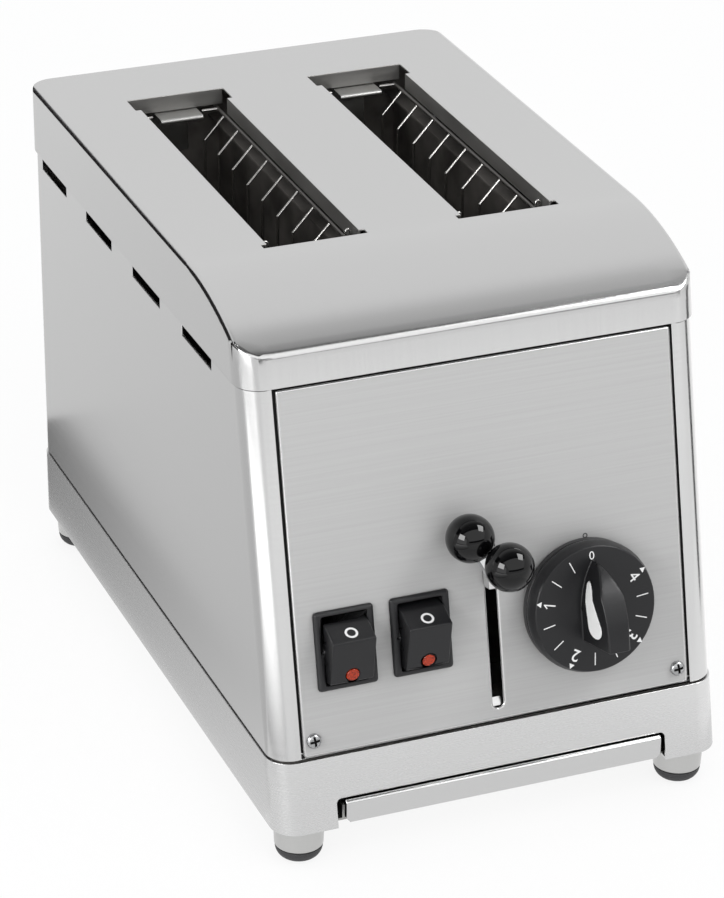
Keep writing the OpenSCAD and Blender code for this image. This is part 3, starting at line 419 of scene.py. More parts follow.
# Satin stainless of the tray: as bright as the walls, with a softer image and broad streaks of 10 mm.
tray_steel = grained_metal("satin_stainless_tray", (0.09, 0.01, 0.01), "#C8C8C8", 0.20, 0.25)
tray_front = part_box("crumb_tray")[0].y
tray_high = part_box("crumb_tray")[1].z
lip_deep = 0.006
roll_high = 0.0035
lip_rise = 0.0022


def raise_lip(corner):
    """The lip's rolled edge stands close under the gate's upper edge."""
    if corner.co.y < tray_front + lip_deep and corner.co.z > tray_high - roll_high:
        corner.co.z += lip_rise


soften("crumb_tray", tray_steel, "tray", rounding=0.0003, move=raise_lip)

# Plain rolled stainless of the inner sheets: greyer and duller than the casing, with 4 mm streaks.
plain_steel = grained_metal("rolled_stainless", (0.03, 0.03, 0.004), "#A6A6A4", 0.34, 0.46)
dress(plain_steel, "tray_rails", "guide_foot", "guide_bridge")

# Body. One stainless sheet makes the two sides and the front pillars, with rounded upright
# corners and a row of vents under the cover; the louvred back sheet is held by four screws.
cover_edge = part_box("top_cover")[0].z
vent_sill = cover_edge - 0.0041
sill_drop = 0.0019
lean = math.radians(12.25)
panel_foot = Vector((0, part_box("body_shell")[0].y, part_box("body_shell")[0].z))


def on_panel(x, h, d):
    """Place on the panel in millimetres: across, up the panel and out from its face."""
    up = Vector((0, math.sin(lean), math.cos(lean)))
    out = Vector((0, -math.cos(lean), math.sin(lean)))
    spot = panel_foot + Vector((x, 0, 0)) / 1000 + up * h / 1000 + out * d / 1000
    turn = Matrix((Vector((1, 0, 0)), up, out)).transposed()
    return Matrix.Translation(spot) @ turn.to_4x4()


to_panel = on_panel(0, 0, 0).inverted()
strip_high = 0.0012
strip_deep = 0.0012
strip_left = 0.00025


def trim_body(corner):
    """The vents' sills lie lower, so that the cover's edge doesn't hide half of them, and the
    strip under the panel is a mere edge."""
    if abs(corner.co.z - vent_sill) < 0.0001:
        corner.co.z -= sill_drop
    spot = to_panel @ corner.co
    if abs(spot.y - strip_high) < 0.00003 and abs(spot.z) < strip_deep:
        corner.co = on_panel(0, 0, 0) @ Vector((spot.x, strip_left, spot.z))


soften("body_shell", wall_steel, "casing", rounding=0.00025, move=trim_body)
soften("back_panel", wall_steel, "casing", rounding=0.00025)

# Top cover. It is folded from one sheet: a flat top with two bread slots, a long curve down to
# the front, a narrow fold and a lip over the panel, with flanges bent down round the slots.

# Satin stainless of the cover, brushed from front to back: the clearest image of all the sheets.
cover_steel = grained_metal("satin_stainless_cover", (0.0008, 0.09, 0.09), "#C2C2C2", 0.16, 0.19)
sheet_edge = 0.0004
hood_y = -0.05
hood_reach = 0.008
side_x = 0.088
crease_x = 0.0895
crease_y = -0.095
crease_z = 0.2075
crease_wide = 0.005
crease_long = 0.012
crease_least = 0.0003
crease_growth = 0.0012


def round_hood(edge):
    """The creases where the long curve meets the lip's corners are rounded more than the rest. Where
    the sides run on from the flat top to the curve, nothing is rounded."""
    one, two = (corner.co for corner in edge.verts)
    middle = (one + two) / 2
    if abs(middle.y - hood_y) < hood_reach and abs(middle.x) > side_x:
        return 0.0
    if middle.z < crease_z or middle.y > crease_y or not edge.is_convex:
        return sheet_edge
    inward = min(1.0, max(0.0, (abs(middle.x) - crease_x) / crease_wide))
    forward = min(1.0, max(0.0, (crease_y - middle.y) / crease_long))
    return crease_least + crease_growth * inward * forward


upward = Vector((0, 0, 1))
sideways = Vector((1, 0, 0))
fold_cuts = (0.2045, 0.2062)
corner_cuts = (-0.0865, -0.084, 0.084, 0.0865)
cover_cuts = [(upward * z, upward) for z in fold_cuts]
cover_cuts += [(sideways * x, sideways) for x in corner_cuts]
cover = soften("top_cover", cover_steel, "casing", sheet_edge, segments=3,
               rounded=round_hood, cuts=cover_cuts)

# The flanges folded down round the slots are left as sheared and bent: dull, without an image.
flange_steel = grained_metal("bent_stainless_flange", (0.03, 0.03, 0.003), "#8F8E8C", 0.45, 0.55)
cover.data.materials.append(flange_steel)
cover_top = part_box("top_cover")[1].z
slot_x = 0.0422
slot_half = 0.024
slot_front = -0.06
flange_low = cover_top - 0.012
flange_high = cover_top - 0.0006
for face in cover.data.polygons:
    spot = face.center
    by_slot = abs(abs(spot.x) - slot_x) < slot_half and spot.y > slot_front
    if by_slot and flange_low < spot.z < flange_high:
        face.material_index = 1

# Heating chamber. Reflectors and end walls of thin sheet stand behind the quartz tubes, and
# drawn wire guards keep the bread off them. Bright brackets close the far ends of the slots.

# Heat-darkened stainless: dull and brownish grey, in clouds of about 25 mm.
burnt_steel, tree, shader = start_material("heat_darkened_stainless")
shader.inputs["Metallic"].default_value = 0.5
shader.inputs["Roughness"].default_value = 0.6
place = add_node(tree, "ShaderNodeTexCoord")
stain_size = 0.025
stain = add_node(tree, "ShaderNodeTexNoise", [(place, "Object", "Vector")],
                 {"Scale": 1 / stain_size, "Detail": 4.0})
tint = add_node(tree, "ShaderNodeValToRGB", [(stain, 0, 0)])
tint.color_ramp.elements[0].position = 0.3
tint.color_ramp.elements[0].color = linear("#4C4946")
tint.color_ramp.elements[1].position = 0.75
tint.color_ramp.elements[1].color = linear("#8A8682")
tree.links.new(tint.outputs[0], shader.inputs["Base Color"])
sides = ("left_outer", "left_inner", "right_inner", "right_outer")
dress(burnt_steel, "chassis_deck", "front_bulkhead", "rear_bulkhead",
      *["reflector_" + side for side in sides])

# Quartz tube with a dark coil inside: a dull dark glassy rod, ribbed by the coil. The coil's turns
# are 1.5 mm apart and are drawn about six times as wide, so that they show.
tube_quartz, tree, shader = start_material("quartz_heating_tube")
shader.inputs["Roughness"].default_value = 0.35
place = add_node(tree, "ShaderNodeTexCoord")
coil_pitch = 0.0015
drawn_pitch = coil_pitch * 2 * math.pi
coil = add_node(tree, "ShaderNodeTexWave", [(place, "Object", "Vector")],
                {"Scale": math.pi / 10 / drawn_pitch, "Distortion": 0.0}, bands_direction="Y")
tint = add_node(tree, "ShaderNodeValToRGB", [(coil, 0, 0)])
tint.color_ramp.elements[0].color = linear("#1B1A1A")
tint.color_ramp.elements[1].color = linear("#3A3836")
tree.links.new(tint.outputs[0], shader.inputs["Base Color"])
dress(tube_quartz, *["heater_" + side for side in sides])

# Bright drawn wire: smooth along its length, with small darker heat marks 8 mm apart.
wire_steel, tree, shader = start_material("drawn_stainless_wire")
shader.inputs["Metallic"].default_value = 1.0
shader.inputs["Roughness"].default_value = 0.25
place = add_node(tree, "ShaderNodeTexCoord")
mark_gap = 0.008
mark = add_node(tree, "ShaderNodeTexNoise", [(place, "Object", "Vector")], {"Scale": 1 / mark_gap})
tint = add_node(tree, "ShaderNodeValToRGB", [(mark, 0, 0)])
tint.color_ramp.elements[0].color = linear("#A5A3A0")
tint.color_ramp.elements[1].color = linear("#DEDDDB")
tree.links.new(tint.outputs[0], shader.inputs["Base Color"])

# Heat-dulled wire of the guards' long bars, which get hottest: dull grey, in clouds of 10 mm.
bar_steel = grained_metal("heat_dulled_wire", (0.01, 0.01, 0.01), "#6E6C6A", 0.4, 0.5)
wire_loss = 0.00022
bar_shortest = 0.004


def thin_wire(corner):
    """The guards' wires are a little thinner than their solids."""
    corner.co -= corner.normal * wire_loss


for side in sides:
    guard = soften("guard_" + side, wire_steel, "casing",
                   rounding=0.00001, segments=1, move=thin_wire)
    guard.data.materials.append(bar_steel)
    for face in guard.data.polygons:
        along = [guard.data.vertices[k].co.y for k in face.vertices]
        if max(along) - min(along) > bar_shortest:
            face.material_index = 1
dress(wire_steel, "bread_rack_left", "bread_rack_right")
soften("slot_brackets", plain_steel, "casing", rounding=0.0002)


# Guard hooks. At the near end of each slot the guards' end wires come up beside the flange, in the
# same drawn stainless, and are turned over in a small hook.
def bent_wire(name, points, thick, material, body):
    """A round wire bent through points, in metres."""
    bend = bpy.data.curves.new(name, "CURVE")
    bend.dimensions = "3D"
    bend.bevel_depth = thick / 2
    bend.bevel_resolution = 3
    bend.use_fill_caps = True
    run = bend.splines.new("POLY")
    run.points.add(len(points) - 1)
    for spot, point in zip(run.points, points):
        spot.co = (*point, 1.0)
    wire = bpy.data.objects.new(name, bend)
    bpy.context.collection.objects.link(wire)
    bend.materials.append(material)
    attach(wire, body)


slot_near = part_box("body_shell")[0].y + 0.097
hook_y = slot_near + 0.011
hook_reach = 0.0178
hook_wire = 0.0009
hook_r = 0.0011
hook_rise = 0.0016
bow_z = 0.2222
long_end_z = 0.2110
short_end_z = 0.2140
bow_steps = 8
for side, x in (("left", -slot_x), ("right", slot_x)):
    for end, reach in (("outer", -hook_reach), ("inner", hook_reach)):
        middle = x + reach
        hook = [(middle - hook_r, hook_y, long_end_z)]
        for k in range(bow_steps + 1):
            turn = math.pi * (1 - k / bow_steps)
            hook.append((middle + hook_r * math.cos(turn), hook_y, bow_z + hook_rise * math.sin(turn)))
        hook.append((middle + hook_r, hook_y, short_end_z))
        bent_wire("guard_hook_" + side + "_" + end, hook, hook_wire, wire_steel, "casing")

# Control panel. A flat stainless sheet leans back between the pillars, cut for the switches,
# the lever and the timer, and held at its foot by two screws. Its sheared edges are bright.

# Fine satin sheet of the panel: duller than the cover, so the knobs leave no clear image in it.
panel_steel = grained_metal("fine_satin_stainless", (0.09, 0.09, 0.0007), "#B3B3B3", 0.68, 0.74)
panel_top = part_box("front_panel")[1].z
panel_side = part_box("front_panel")[0].x
panel_edge = 0.0008
lip_gap = 0.0014
pillar_gap = 0.0004
foot_high = 0.0055
foot_round = 0.004
foot_fill = 0.85
foot_stretch = 1.25


def trim_panel(corner):
    """The panel ends just under the lip and clears the left pillar, so both gaps show dark. Its foot
    reaches lower, and the corners there are squarer."""
    if corner.co.z > panel_top - 0.002:
        drop = corner.co.z - (cover_edge - lip_gap)
        corner.co.z -= drop
        corner.co.y -= drop * math.tan(lean)
    if corner.co.x < panel_side + 0.0001:
        corner.co.x += pillar_gap
    spot = to_panel @ corner.co
    if spot.y < foot_high:
        down = foot_high - spot.y
        past_arc = max(0.0, abs(spot.x) - (abs(panel_side) - foot_round))
        if past_arc > 0:
            fill = 1 + foot_fill * (foot_round / max(down, past_arc) - 1)
            down *= fill
            spot.x += math.copysign(past_arc * (fill - 1), spot.x)
        corner.co = on_panel(0, 0, 0) @ Vector((spot.x, foot_high - down * foot_stretch, spot.z))


panel = soften("front_panel", panel_steel, "casing", panel_edge, segments=3,
               move=trim_panel)
panel.data.materials.append(wall_steel)
panel.modifiers["rounded_edges"].material = 1


# Painted shade. Dead black strips lie behind the panel's top and side edges, so that its gaps show dark,
# and thin ones run on round both pillars under the cover's lip as a painted shade line. They are extruded
# and cut to length.
def flat_mark(name, outline, height, matrix, material, body):
    """A flat layer of a given outline and height, in millimetres."""
    count = len(outline)
    verts = [matrix @ Vector((x / 1000, y / 1000, z / 1000)) for z in (0, height) for x, y in outline]
    faces = [tuple(range(count, 2 * count)), tuple(reversed(range(count)))]
    faces += [(k, (k + 1) % count, count + (k + 1) % count, count + k) for k in range(count)]
    mark = make_object(name, verts, faces, material)
    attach(mark, body)


# Painted shade: dead black strips with a faint grain of 0.5 mm, which stand in for the shade in the gaps.
gap_shade_black, tree, shader = start_material("painted_gap_shade")
shader.inputs["Roughness"].default_value = 0.85
shader.inputs["Specular IOR Level"].default_value = 0.1
place = add_node(tree, "ShaderNodeTexCoord")
shade_grain_size = 0.0005
shade_grain = add_node(tree, "ShaderNodeTexNoise", [(place, "Object", "Vector")], {"Scale": 1 / shade_grain_size})
tint = add_node(tree, "ShaderNodeValToRGB", [(shade_grain, 0, 0)])
tint.color_ramp.elements[0].color = linear("#050505")
tint.color_ramp.elements[1].color = linear("#121212")
tree.links.new(tint.outputs[0], shader.inputs["Base Color"])

bead_half = 0.62
bead_tip = 0.4
bead_foot = 2.6
bead_head = 152.0
# The panel's side and top strips are painted shade in its gaps.
for side, x in (("left", -84.85), ("right", 85.05)):
    bead = [(-bead_half, bead_foot + bead_tip), (0.0, bead_foot), (bead_half, bead_foot + bead_tip),
            (bead_half, bead_head - bead_tip), (0.0, bead_head), (-bead_half, bead_head - bead_tip)]
    flat_mark("panel_gap_shade_" + side, bead, 0.5, on_panel(x, 0, -1.0), gap_shade_black, "casing")
bead = [(-84.2, 150.4), (84.4, 150.4), (84.7, 151.2), (84.4, 152.0), (-84.2, 152.0), (-84.5, 151.2)]
flat_mark("panel_gap_shade_top", bead, 0.4, on_panel(0, 0, -1.5), gap_shade_black, "casing")

pillar_r = 10
pillar_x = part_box("body_shell")[1].x * 1000
bead_sunk = -0.3
bead_proud = 0.4
below_lip = Vector((0, 0, 0.0004))
behind_lip = Vector((0, 0, 0.0002))
steps = 14
# Thin black strips under the lip draw a painted shade line round each pillar.
for side, sign in (("left", -1), ("right", 1)):
    verts = []
    for k in range(steps + 1):
        turn = math.pi / 2 * k / steps
        for grown in (bead_sunk, bead_proud):
            radius = pillar_r + grown
            x = sign * (pillar_x - pillar_r + radius * math.sin(turn))
            d = radius * math.cos(turn) - pillar_r
            h = ((cover_edge - panel_foot.z) * 1000 - d * math.sin(lean)) / math.cos(lean)
            spot = on_panel(x, h, d).translation
            verts += [spot - below_lip, spot + behind_lip]
    faces = [(0, 1, 3, 2), (4 * steps, 4 * steps + 2, 4 * steps + 3, 4 * steps + 1)]
    for k in range(steps):
        for one, two in ((0, 1), (1, 3), (3, 2), (2, 0)):
            faces.append((4 * k + one, 4 * k + 4 + one, 4 * k + 4 + two, 4 * k + two))
    bead = make_object("pillar_shade_line_" + side, verts, faces, gap_shade_black)
    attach(bead, "casing")

# Lever stop. A small steel tab is bent up behind the foot of the lever slot, where the arm comes to
# rest, and catches the light from above.
tab_half = 2.3
tab_high = 3.6
tab_cut = 0.4
tab = [(-tab_half, tab_cut), (tab_cut - tab_half, 0.0), (tab_half - tab_cut, 0.0), (tab_half, tab_cut),
       (tab_half, tab_high - tab_cut), (tab_half - tab_cut, tab_high), (tab_cut - tab_half, tab_high),
       (-tab_half, tab_high - tab_cut)]
tab_turn = Matrix.Rotation(math.radians(-20), 4, "X")
flat_mark("lever_stop", tab, 0.6, on_panel(0, 5.7, -2.4) @ tab_turn, tray_steel, "casing")

# Screws. Zinc-plated pan-head screws with a punched cross hold the foot of the panel and the four
# corners of the back sheet.

# Punched recess of a screw: the same steel, dull and painted dark grey as the shade in its cross.
recess_shade_steel, tree, shader = start_material("painted_recess_shade")
shader.inputs["Metallic"].default_value = 1.0
shader.inputs["Roughness"].default_value = 0.6
place = add_node(tree, "ShaderNodeTexCoord")
recess_shade_grain_size = 0.0008
recess_shade_grain = add_node(tree, "ShaderNodeTexNoise", [(place, "Object", "Vector")], {"Scale": 1 / recess_shade_grain_size})
tint = add_node(tree, "ShaderNodeValToRGB", [(recess_shade_grain, 0, 0)])
tint.color_ramp.elements[0].color = linear("#1A1A1A")
tint.color_ramp.elements[1].color = linear("#303030")
tree.links.new(tint.outputs[0], shader.inputs["Base Color"])
head_r = 0.0031
head_h = 0.0022
head_rim = 0.0005
head_steps = 6
shank_r = 0.0014
shank_long = 0.006
cross_size = Matrix.Diagonal((0.0042, 0.0010, 0.003, 1))
cross_place = Matrix.Translation((0, 0, 0.0024))
cross_turn = 0.12


def pan_screws(name, places, replaced):
    """Pan-head screws with a sunk cross, all as one piece."""
    joined = bmesh.new()
    for matrix in places:
        profile = [(0, -shank_long), (shank_r, -shank_long), (shank_r, 0.0),
                   (head_r, 0.0), (head_r, head_rim)]
        for k in range(1, head_steps + 1):
            turn = k / head_steps * math.pi / 2
            profile.append((head_r * math.cos(turn), head_rim + (head_h - head_rim) * math.sin(turn)))
        profile[-1] = (0, head_h)
        blank = lathe(name + "_blank", profile, Matrix.Identity(4), plated_steel, "casing",
                      segments=32)
        cross = bmesh.new()
        for turn in (0, math.pi / 2):
            cut = bmesh.ops.create_cube(cross, size=1.0)
            shape = cross_place @ (Matrix.Rotation(turn + cross_turn, 4, "Z") @ cross_size)
            bmesh.ops.transform(cross, matrix=shape, verts=cut["verts"])
        cutter = bpy.data.meshes.new(name + "_cross")
        cross.to_mesh(cutter)
        # The cross's faces take the painted shade of the recess.
        cutter.materials.append(recess_shade_steel)
        cross.free()
        tool = bpy.data.objects.new(name + "_cross", cutter)
        bpy.context.collection.objects.link(tool)
        recess = blank.modifiers.new("cross_recess", "BOOLEAN")
        recess.object = tool
        recess.operation = "DIFFERENCE"
        recess.material_mode = "TRANSFER"
        recess.use_self = True
        bpy.context.view_layer.update()
        ready = blank.evaluated_get(bpy.context.evaluated_depsgraph_get())
        made = bpy.data.meshes.new_from_object(ready)
        made.transform(matrix)
        joined.from_mesh(made)
        bpy.data.objects.remove(tool)
        bpy.data.objects.remove(blank)
    mesh = bpy.data.meshes.new(name)
    joined.to_mesh(mesh)
    joined.free()
    mesh.materials.append(plated_steel)
    mesh.materials.append(recess_shade_steel)
    mesh.set_sharp_from_angle(angle=sharp_turn)
    piece = bpy.data.objects.new(name, mesh)
    bpy.context.collection.objects.link(piece)
    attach(piece, "casing")
    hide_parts(replaced)


pan_screws("panel_screw_heads", [on_panel(-80, 7.2, 0), on_panel(80, 7.2, 0)], "panel_screws")
low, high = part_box("back_screws")
back_turn = Matrix.Rotation(-math.pi / 2, 4, "X")
back_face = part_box("back_panel")[1].y
pan_screws("back_screw_heads",
           [Matrix.Translation((x, back_face, z)) @ back_turn
            for x in (low.x + head_r, high.x - head_r) for z in (low.z + head_r, high.z - head_r)],
           "back_screws")

# Zero mark. A small dark ring just above the knob shows where the scale is read. It is printed on
# the bare steel of the panel.

# Black screen ink: dark grey, half dull, with grains of 0.5 mm.
mark_ink, tree, shader = start_material("black_screen_ink")
shader.inputs["Base Color"].default_value = linear("#3A3A3A")
place = add_node(tree, "ShaderNodeTexCoord")
ink_grain = 0.0005
ink = add_node(tree, "ShaderNodeTexNoise", [(place, "Object", "Vector")], {"Scale": 1 / ink_grain})
gloss = add_node(tree, "ShaderNodeMapRange", [(ink, 0, "Value")], {"To Min": 0.4, "To Max": 0.6})
tree.links.new(gloss.outputs[0], shader.inputs["Roughness"])


def flat_ring(name, inner, outer, height, matrix, material, body):
    """A low ring with rounded edges, in millimetres."""
    edge = (outer - inner) * 0.15
    profile = [(inner, 0), (inner, height * 0.6), (inner + edge, height), (outer - edge, height),
               (outer, height * 0.6), (outer, 0)]
    profile = [(radius / 1000, z / 1000) for radius, z in profile]
    lathe(name, profile + profile[:1], matrix, material, body, segments=40)


flat_ring("zero_mark", 0.6, 1.1, 0.06, on_panel(42.4, 70.8, 0), mark_ink, "casing")

# Rocker switches. Snap-in black housings with a bevelled bezel; each rocker is a tall wedge on a
# pin, with a printed ring on its upper face and an orange neon lens in the lower one.

# Moulded ABS with a spark-eroded finish: dark grey, dull, with a fine grit of 0.25 mm.
switch_abs, tree, shader = start_material("spark_eroded_abs")
shader.inputs["Base Color"].default_value = linear("#1E1E20")
shader.inputs["Roughness"].default_value = 0.42
shader.inputs["Specular IOR Level"].default_value = 0.3
place = add_node(tree, "ShaderNodeTexCoord")
grit_size = 0.00025
grit = add_node(tree, "ShaderNodeTexNoise", [(place, "Object", "Vector")],
                {"Scale": 1 / grit_size, "Detail": 2.0})
relief = add_node(tree, "ShaderNodeBump", [(grit, 0, "Height")], {"Strength": 0.2, "Distance": 0.0001})
tree.links.new(relief.outputs[0], shader.inputs["Normal"])

# Moulded polycarbonate of the rockers: black with a soft shine, handled to patches of 4 mm.
rocker_pc, tree, shader = start_material("moulded_polycarbonate")
shader.inputs["Base Color"].default_value = linear("#1C1C1E")
shader.inputs["Specular IOR Level"].default_value = 0.3
place = add_node(tree, "ShaderNodeTexCoord")
wear_size = 0.004
wear = add_node(tree, "ShaderNodeTexNoise", [(place, "Object", "Vector")],
                {"Scale": 1 / wear_size, "Detail": 4.0})
gloss = add_node(tree, "ShaderNodeMapRange", [(wear, 0, "Value")], {"To Min": 0.28, "To Max": 0.42})
tree.links.new(gloss.outputs[0], shader.inputs["Roughness"])

# Orange acrylic lens: clear and shiny, with a moulded pattern of 0.7 mm cells, and a faint painted glow in
# the same colours.
lens_acrylic, tree, shader = start_material("orange_acrylic")
shader.inputs["Roughness"].default_value = 0.12
shader.inputs["Coat Weight"].default_value = 0.25
shader.inputs["Specular IOR Level"].default_value = 0.2
place = add_node(tree, "ShaderNodeTexCoord")
cell_size = 0.0007
cells = add_node(tree, "ShaderNodeTexVoronoi", [(place, "Object", "Vector")], {"Scale": 1 / cell_size})
tint = add_node(tree, "ShaderNodeValToRGB", [(cells, 0, 0)])
tint.color_ramp.elements[0].color = linear("#C23A14")
tint.color_ramp.elements[1].color = linear("#4A0D04")
tree.links.new(tint.outputs[0], shader.inputs["Base Color"])
# Painted glow: the lens's own colours shine faintly by themselves.
tree.links.new(tint.outputs[0], shader.inputs["Emission Color"])
shader.inputs["Emission Strength"].default_value = 0.03
relief = add_node(tree, "ShaderNodeBump", [(cells, 0, "Height")], {"Strength": 0.3, "Distance": 0.0002})
tree.links.new(relief.outputs[0], shader.inputs["Normal"])

# White pad-printing ink: flat white, a little thinner in spots of about 1 mm.
white_ink, tree, shader = start_material("white_pad_ink")
shader.inputs["Roughness"].default_value = 0.5
place = add_node(tree, "ShaderNodeTexCoord")
spot_size = 0.0012
spots = add_node(tree, "ShaderNodeTexNoise", [(place, "Object", "Vector")], {"Scale": 1 / spot_size})
tint = add_node(tree, "ShaderNodeValToRGB", [(spots, 0, 0)])
tint.color_ramp.elements[0].color = linear("#D5D5D5")
tint.color_ramp.elements[1].color = linear("#F2F2F2")
tree.links.new(tint.outputs[0], shader.inputs["Base Color"])
bezel_edge = 0.0006
bezel_corner = 0.0016


def round_bezel(edge):
    """The bezel's outer corners are rounded more than its other edges."""
    one, two = (to_panel @ corner.co for corner in edge.verts)
    upright = abs((two - one).normalized().z) > 0.9
    return bezel_corner if upright and edge.is_convex else bezel_edge


# The rocker's upper face runs from its ridge to its upper end: millimetres up and out from its middle.
control_h = 43.3
ridge = Vector((5.9, 12.7))
upper_end = Vector((11.0, 4.8))
middle = (ridge + upper_end) / 2
slope = math.atan2(upper_end.x - ridge.x, ridge.y - upper_end.y)
for side, x in (("left", -63.8), ("right", -31.4)):
    body = "switch_" + side
    soften("rocker_housing_" + side, switch_abs, "casing", bezel_edge, segments=3,
           rounded=round_bezel)
    soften("rocker_" + side, rocker_pc, body, rounding=0.0007, segments=3)
    soften("rocker_lens_" + side, lens_acrylic, body, rounding=0.0005, segments=3)
    facing = on_panel(x, control_h + middle.x, middle.y) @ Matrix.Rotation(slope - math.pi / 2, 4, "X")
    flat_ring("rocker_" + side + "_ring", 1.75, 2.7, 0.07, facing, white_ink, body)

# Timer. A clockwork case behind the panel turns a shaft with a black knob: a grooved disc with a
# printed scale and a tall pointed grip, with a white drop set in its left flank.

# Moulded thermoset of the knob: black, soft shine, faint flow marks of about 3 mm.
knob_black, tree, shader = start_material("moulded_phenolic")
shader.inputs["Base Color"].default_value = linear("#1B1B1D")
shader.inputs["Specular IOR Level"].default_value = 0.3
place = add_node(tree, "ShaderNodeTexCoord")
flow_size = 0.003
flow = add_node(tree, "ShaderNodeTexNoise", [(place, "Object", "Vector")],
                {"Scale": 1 / flow_size, "Detail": 3.0})
gloss = add_node(tree, "ShaderNodeMapRange", [(flow, 0, "Value")], {"To Min": 0.30, "To Max": 0.44})
tree.links.new(gloss.outputs[0], shader.inputs["Roughness"])
soften("timer_knob", knob_black, "timer", rounding=0.0006, segments=3)

# White urea inlay: bright and smooth, with the same slight unevenness as its moulding.
inlay_white, tree, shader = start_material("white_urea_resin")
place = add_node(tree, "ShaderNodeTexCoord")
flow = add_node(tree, "ShaderNodeTexNoise", [(place, "Object", "Vector")], {"Scale": 1 / flow_size})
tint = add_node(tree, "ShaderNodeValToRGB", [(flow, 0, 0)])
tint.color_ramp.elements[0].color = linear("#F2F2F1")
tint.color_ramp.elements[1].color = linear("#FCFCFB")
tree.links.new(tint.outputs[0], shader.inputs["Base Color"])
shader.inputs["Roughness"].default_value = 0.35
knob_x = 40.0
face_d = 11.8
drop_middle = (face_d + 8) / 1000
drop_growth = 0.28
drop_proud = 0.00015
flank_slope = 0.065


def fill_drop(corner):
    """The drop is a little fuller than its pocket and stands a hair proud of the grip's flank."""
    spot = to_panel @ corner.co
    grown = (spot.z - drop_middle) * drop_growth
    along_flank = spot.x + grown * flank_slope - drop_proud
    corner.co = on_panel(0, 0, 0) @ Vector((along_flank, spot.y, spot.z + grown))


soften("knob_marker", inlay_white, "timer", rounding=0.0001, segments=1,
       move=fill_drop)

# The scale is printed on the disc: ticks, a digit with a point at each full step, and a small zero.
scale_turn = 0.9
ink_high = 0.06
tick_half = 0.21
mark_half = 2.6
one_angle = 165
tick_radius = 21.0
digit_radius = 20.6
zero_radius = 22.6
point_radius = 25.3
cap_share = 0.73
bolder = 0.00005


def on_dial(angle, radius, lift=0.0):
    """Place on the knob's face, turned so that its own Y axis points away from the middle."""
    turn = math.radians(angle + scale_turn)
    spot = on_panel(knob_x + radius * math.cos(turn), control_h + radius * math.sin(turn), face_d + lift)
    return spot @ Matrix.Rotation(turn - math.pi / 2, 4, "Z")


def on_scale(name, outline, angle, radius):
    """A mark of the scale, in white ink that turns with the knob."""
    flat_mark("scale_" + name, outline, ink_high, on_dial(angle, radius), white_ink, "timer")


tick = [(-tick_half, -mark_half), (tick_half, -mark_half), (tick_half, mark_half), (-tick_half, mark_half)]
for k, angle in enumerate((115, 140, 190, 215, 265, 290, 340, 5)):
    on_scale("tick_%d" % k, tick, angle, tick_radius)
flagged_one = [(-0.28, -mark_half), (0.28, -mark_half), (0.28, mark_half), (-0.1, mark_half),
               (-1.55, 1.05), (-1.2, 0.7), (-0.28, 1.6)]
point = [(-1.2, -1.0), (1.2, -1.0), (0.0, 1.1)]
on_scale("digit_1", flagged_one, one_angle, digit_radius)
on_scale("point_1", point, one_angle, point_radius)
for digit, angle, tall in (("0", 90, 3.6), ("2", 240, 5.2), ("3", 317, 5.2), ("4", 30, 5.2)):
    lettering = bpy.data.curves.new("scale_digit_" + digit, "FONT")
    lettering.body = digit
    lettering.align_x = "CENTER"
    lettering.align_y = "CENTER"
    lettering.size = tall / 1000 / cap_share
    lettering.extrude = ink_high / 2000
    lettering.resolution_u = 6
    lettering.offset = 0.0 if digit in "04" else bolder
    source = bpy.data.objects.new("scale_digit_source", lettering)
    bpy.context.collection.objects.link(source)
    bpy.context.view_layer.update()
    mesh = bpy.data.meshes.new_from_object(source.evaluated_get(bpy.context.evaluated_depsgraph_get()))
    bpy.data.objects.remove(source)
    mesh.materials.clear()
    mesh.materials.append(white_ink)
    across = [corner.co.x for corner in mesh.vertices]
    along = [corner.co.y for corner in mesh.vertices]
    middle = Vector((min(across) + max(across), min(along) + max(along), 0)) / 2
    radius = zero_radius if digit == "0" else digit_radius
    mesh.transform(on_dial(angle, radius, ink_high / 2) @ Matrix.Translation(-middle))
    figure = bpy.data.objects.new("scale_digit_" + digit, mesh)
    bpy.context.collection.objects.link(figure)
    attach(figure, "timer")
    if digit != "0":
        on_scale("point_" + digit, point, angle, point_radius)

# Plated pressed steel of the clockwork's case: grey and half dull, mottled in patches of 5 mm.
timer_case, tree, shader = start_material("plated_pressed_steel")
shader.inputs["Metallic"].default_value = 1.0
shader.inputs["Roughness"].default_value = 0.45
place = add_node(tree, "ShaderNodeTexCoord")
mottle_size = 0.005
mottle = add_node(tree, "ShaderNodeTexNoise", [(place, "Object", "Vector")], {"Scale": 1 / mottle_size})
tint = add_node(tree, "ShaderNodeValToRGB", [(mottle, 0, 0)])
tint.color_ramp.elements[0].color = linear("#7E8286")
tint.color_ramp.elements[1].color = linear("#A4A7AA")
tree.links.new(tint.outputs[0], shader.inputs["Base Color"])
dress(timer_case, "timer_body")
dress(plated_steel, "timer_shaft")

# Bread lift. A carriage slides on two chrome guide rods and carries a rack in each slot; a flat
# arm comes out through the panel's slot and holds two short rods with ball knobs.

# Polished chrome plate: a clear mirror, with faint polishing haze 3 mm across.
chrome, tree, shader = start_material("chrome_plate")
shader.inputs["Base Color"].default_value = linear("#DCDDDE")
shader.inputs["Metallic"].default_value = 1.0
place = add_node(tree, "ShaderNodeTexCoord")
haze_size = 0.003
haze = add_node(tree, "ShaderNodeTexNoise", [(place, "Object", "Vector")], {"Scale": 1 / haze_size})
gloss = add_node(tree, "ShaderNodeMapRange", [(haze, 0, "Value")], {"To Min": 0.05, "To Max": 0.14})
tree.links.new(gloss.outputs[0], shader.inputs["Roughness"])
dress(chrome, "guide_rods", "handle_rods")

# Milled aluminium: bright grey with cutter marks 0.8 mm apart.
milled = grained_metal("milled_aluminium", (0.0008, 0.05, 0.05), "#B4B6B8", 0.3, 0.42)
dress(milled, "lift_carriage")
soften("lift_arm", tray_steel, "lift", rounding=0.0003)

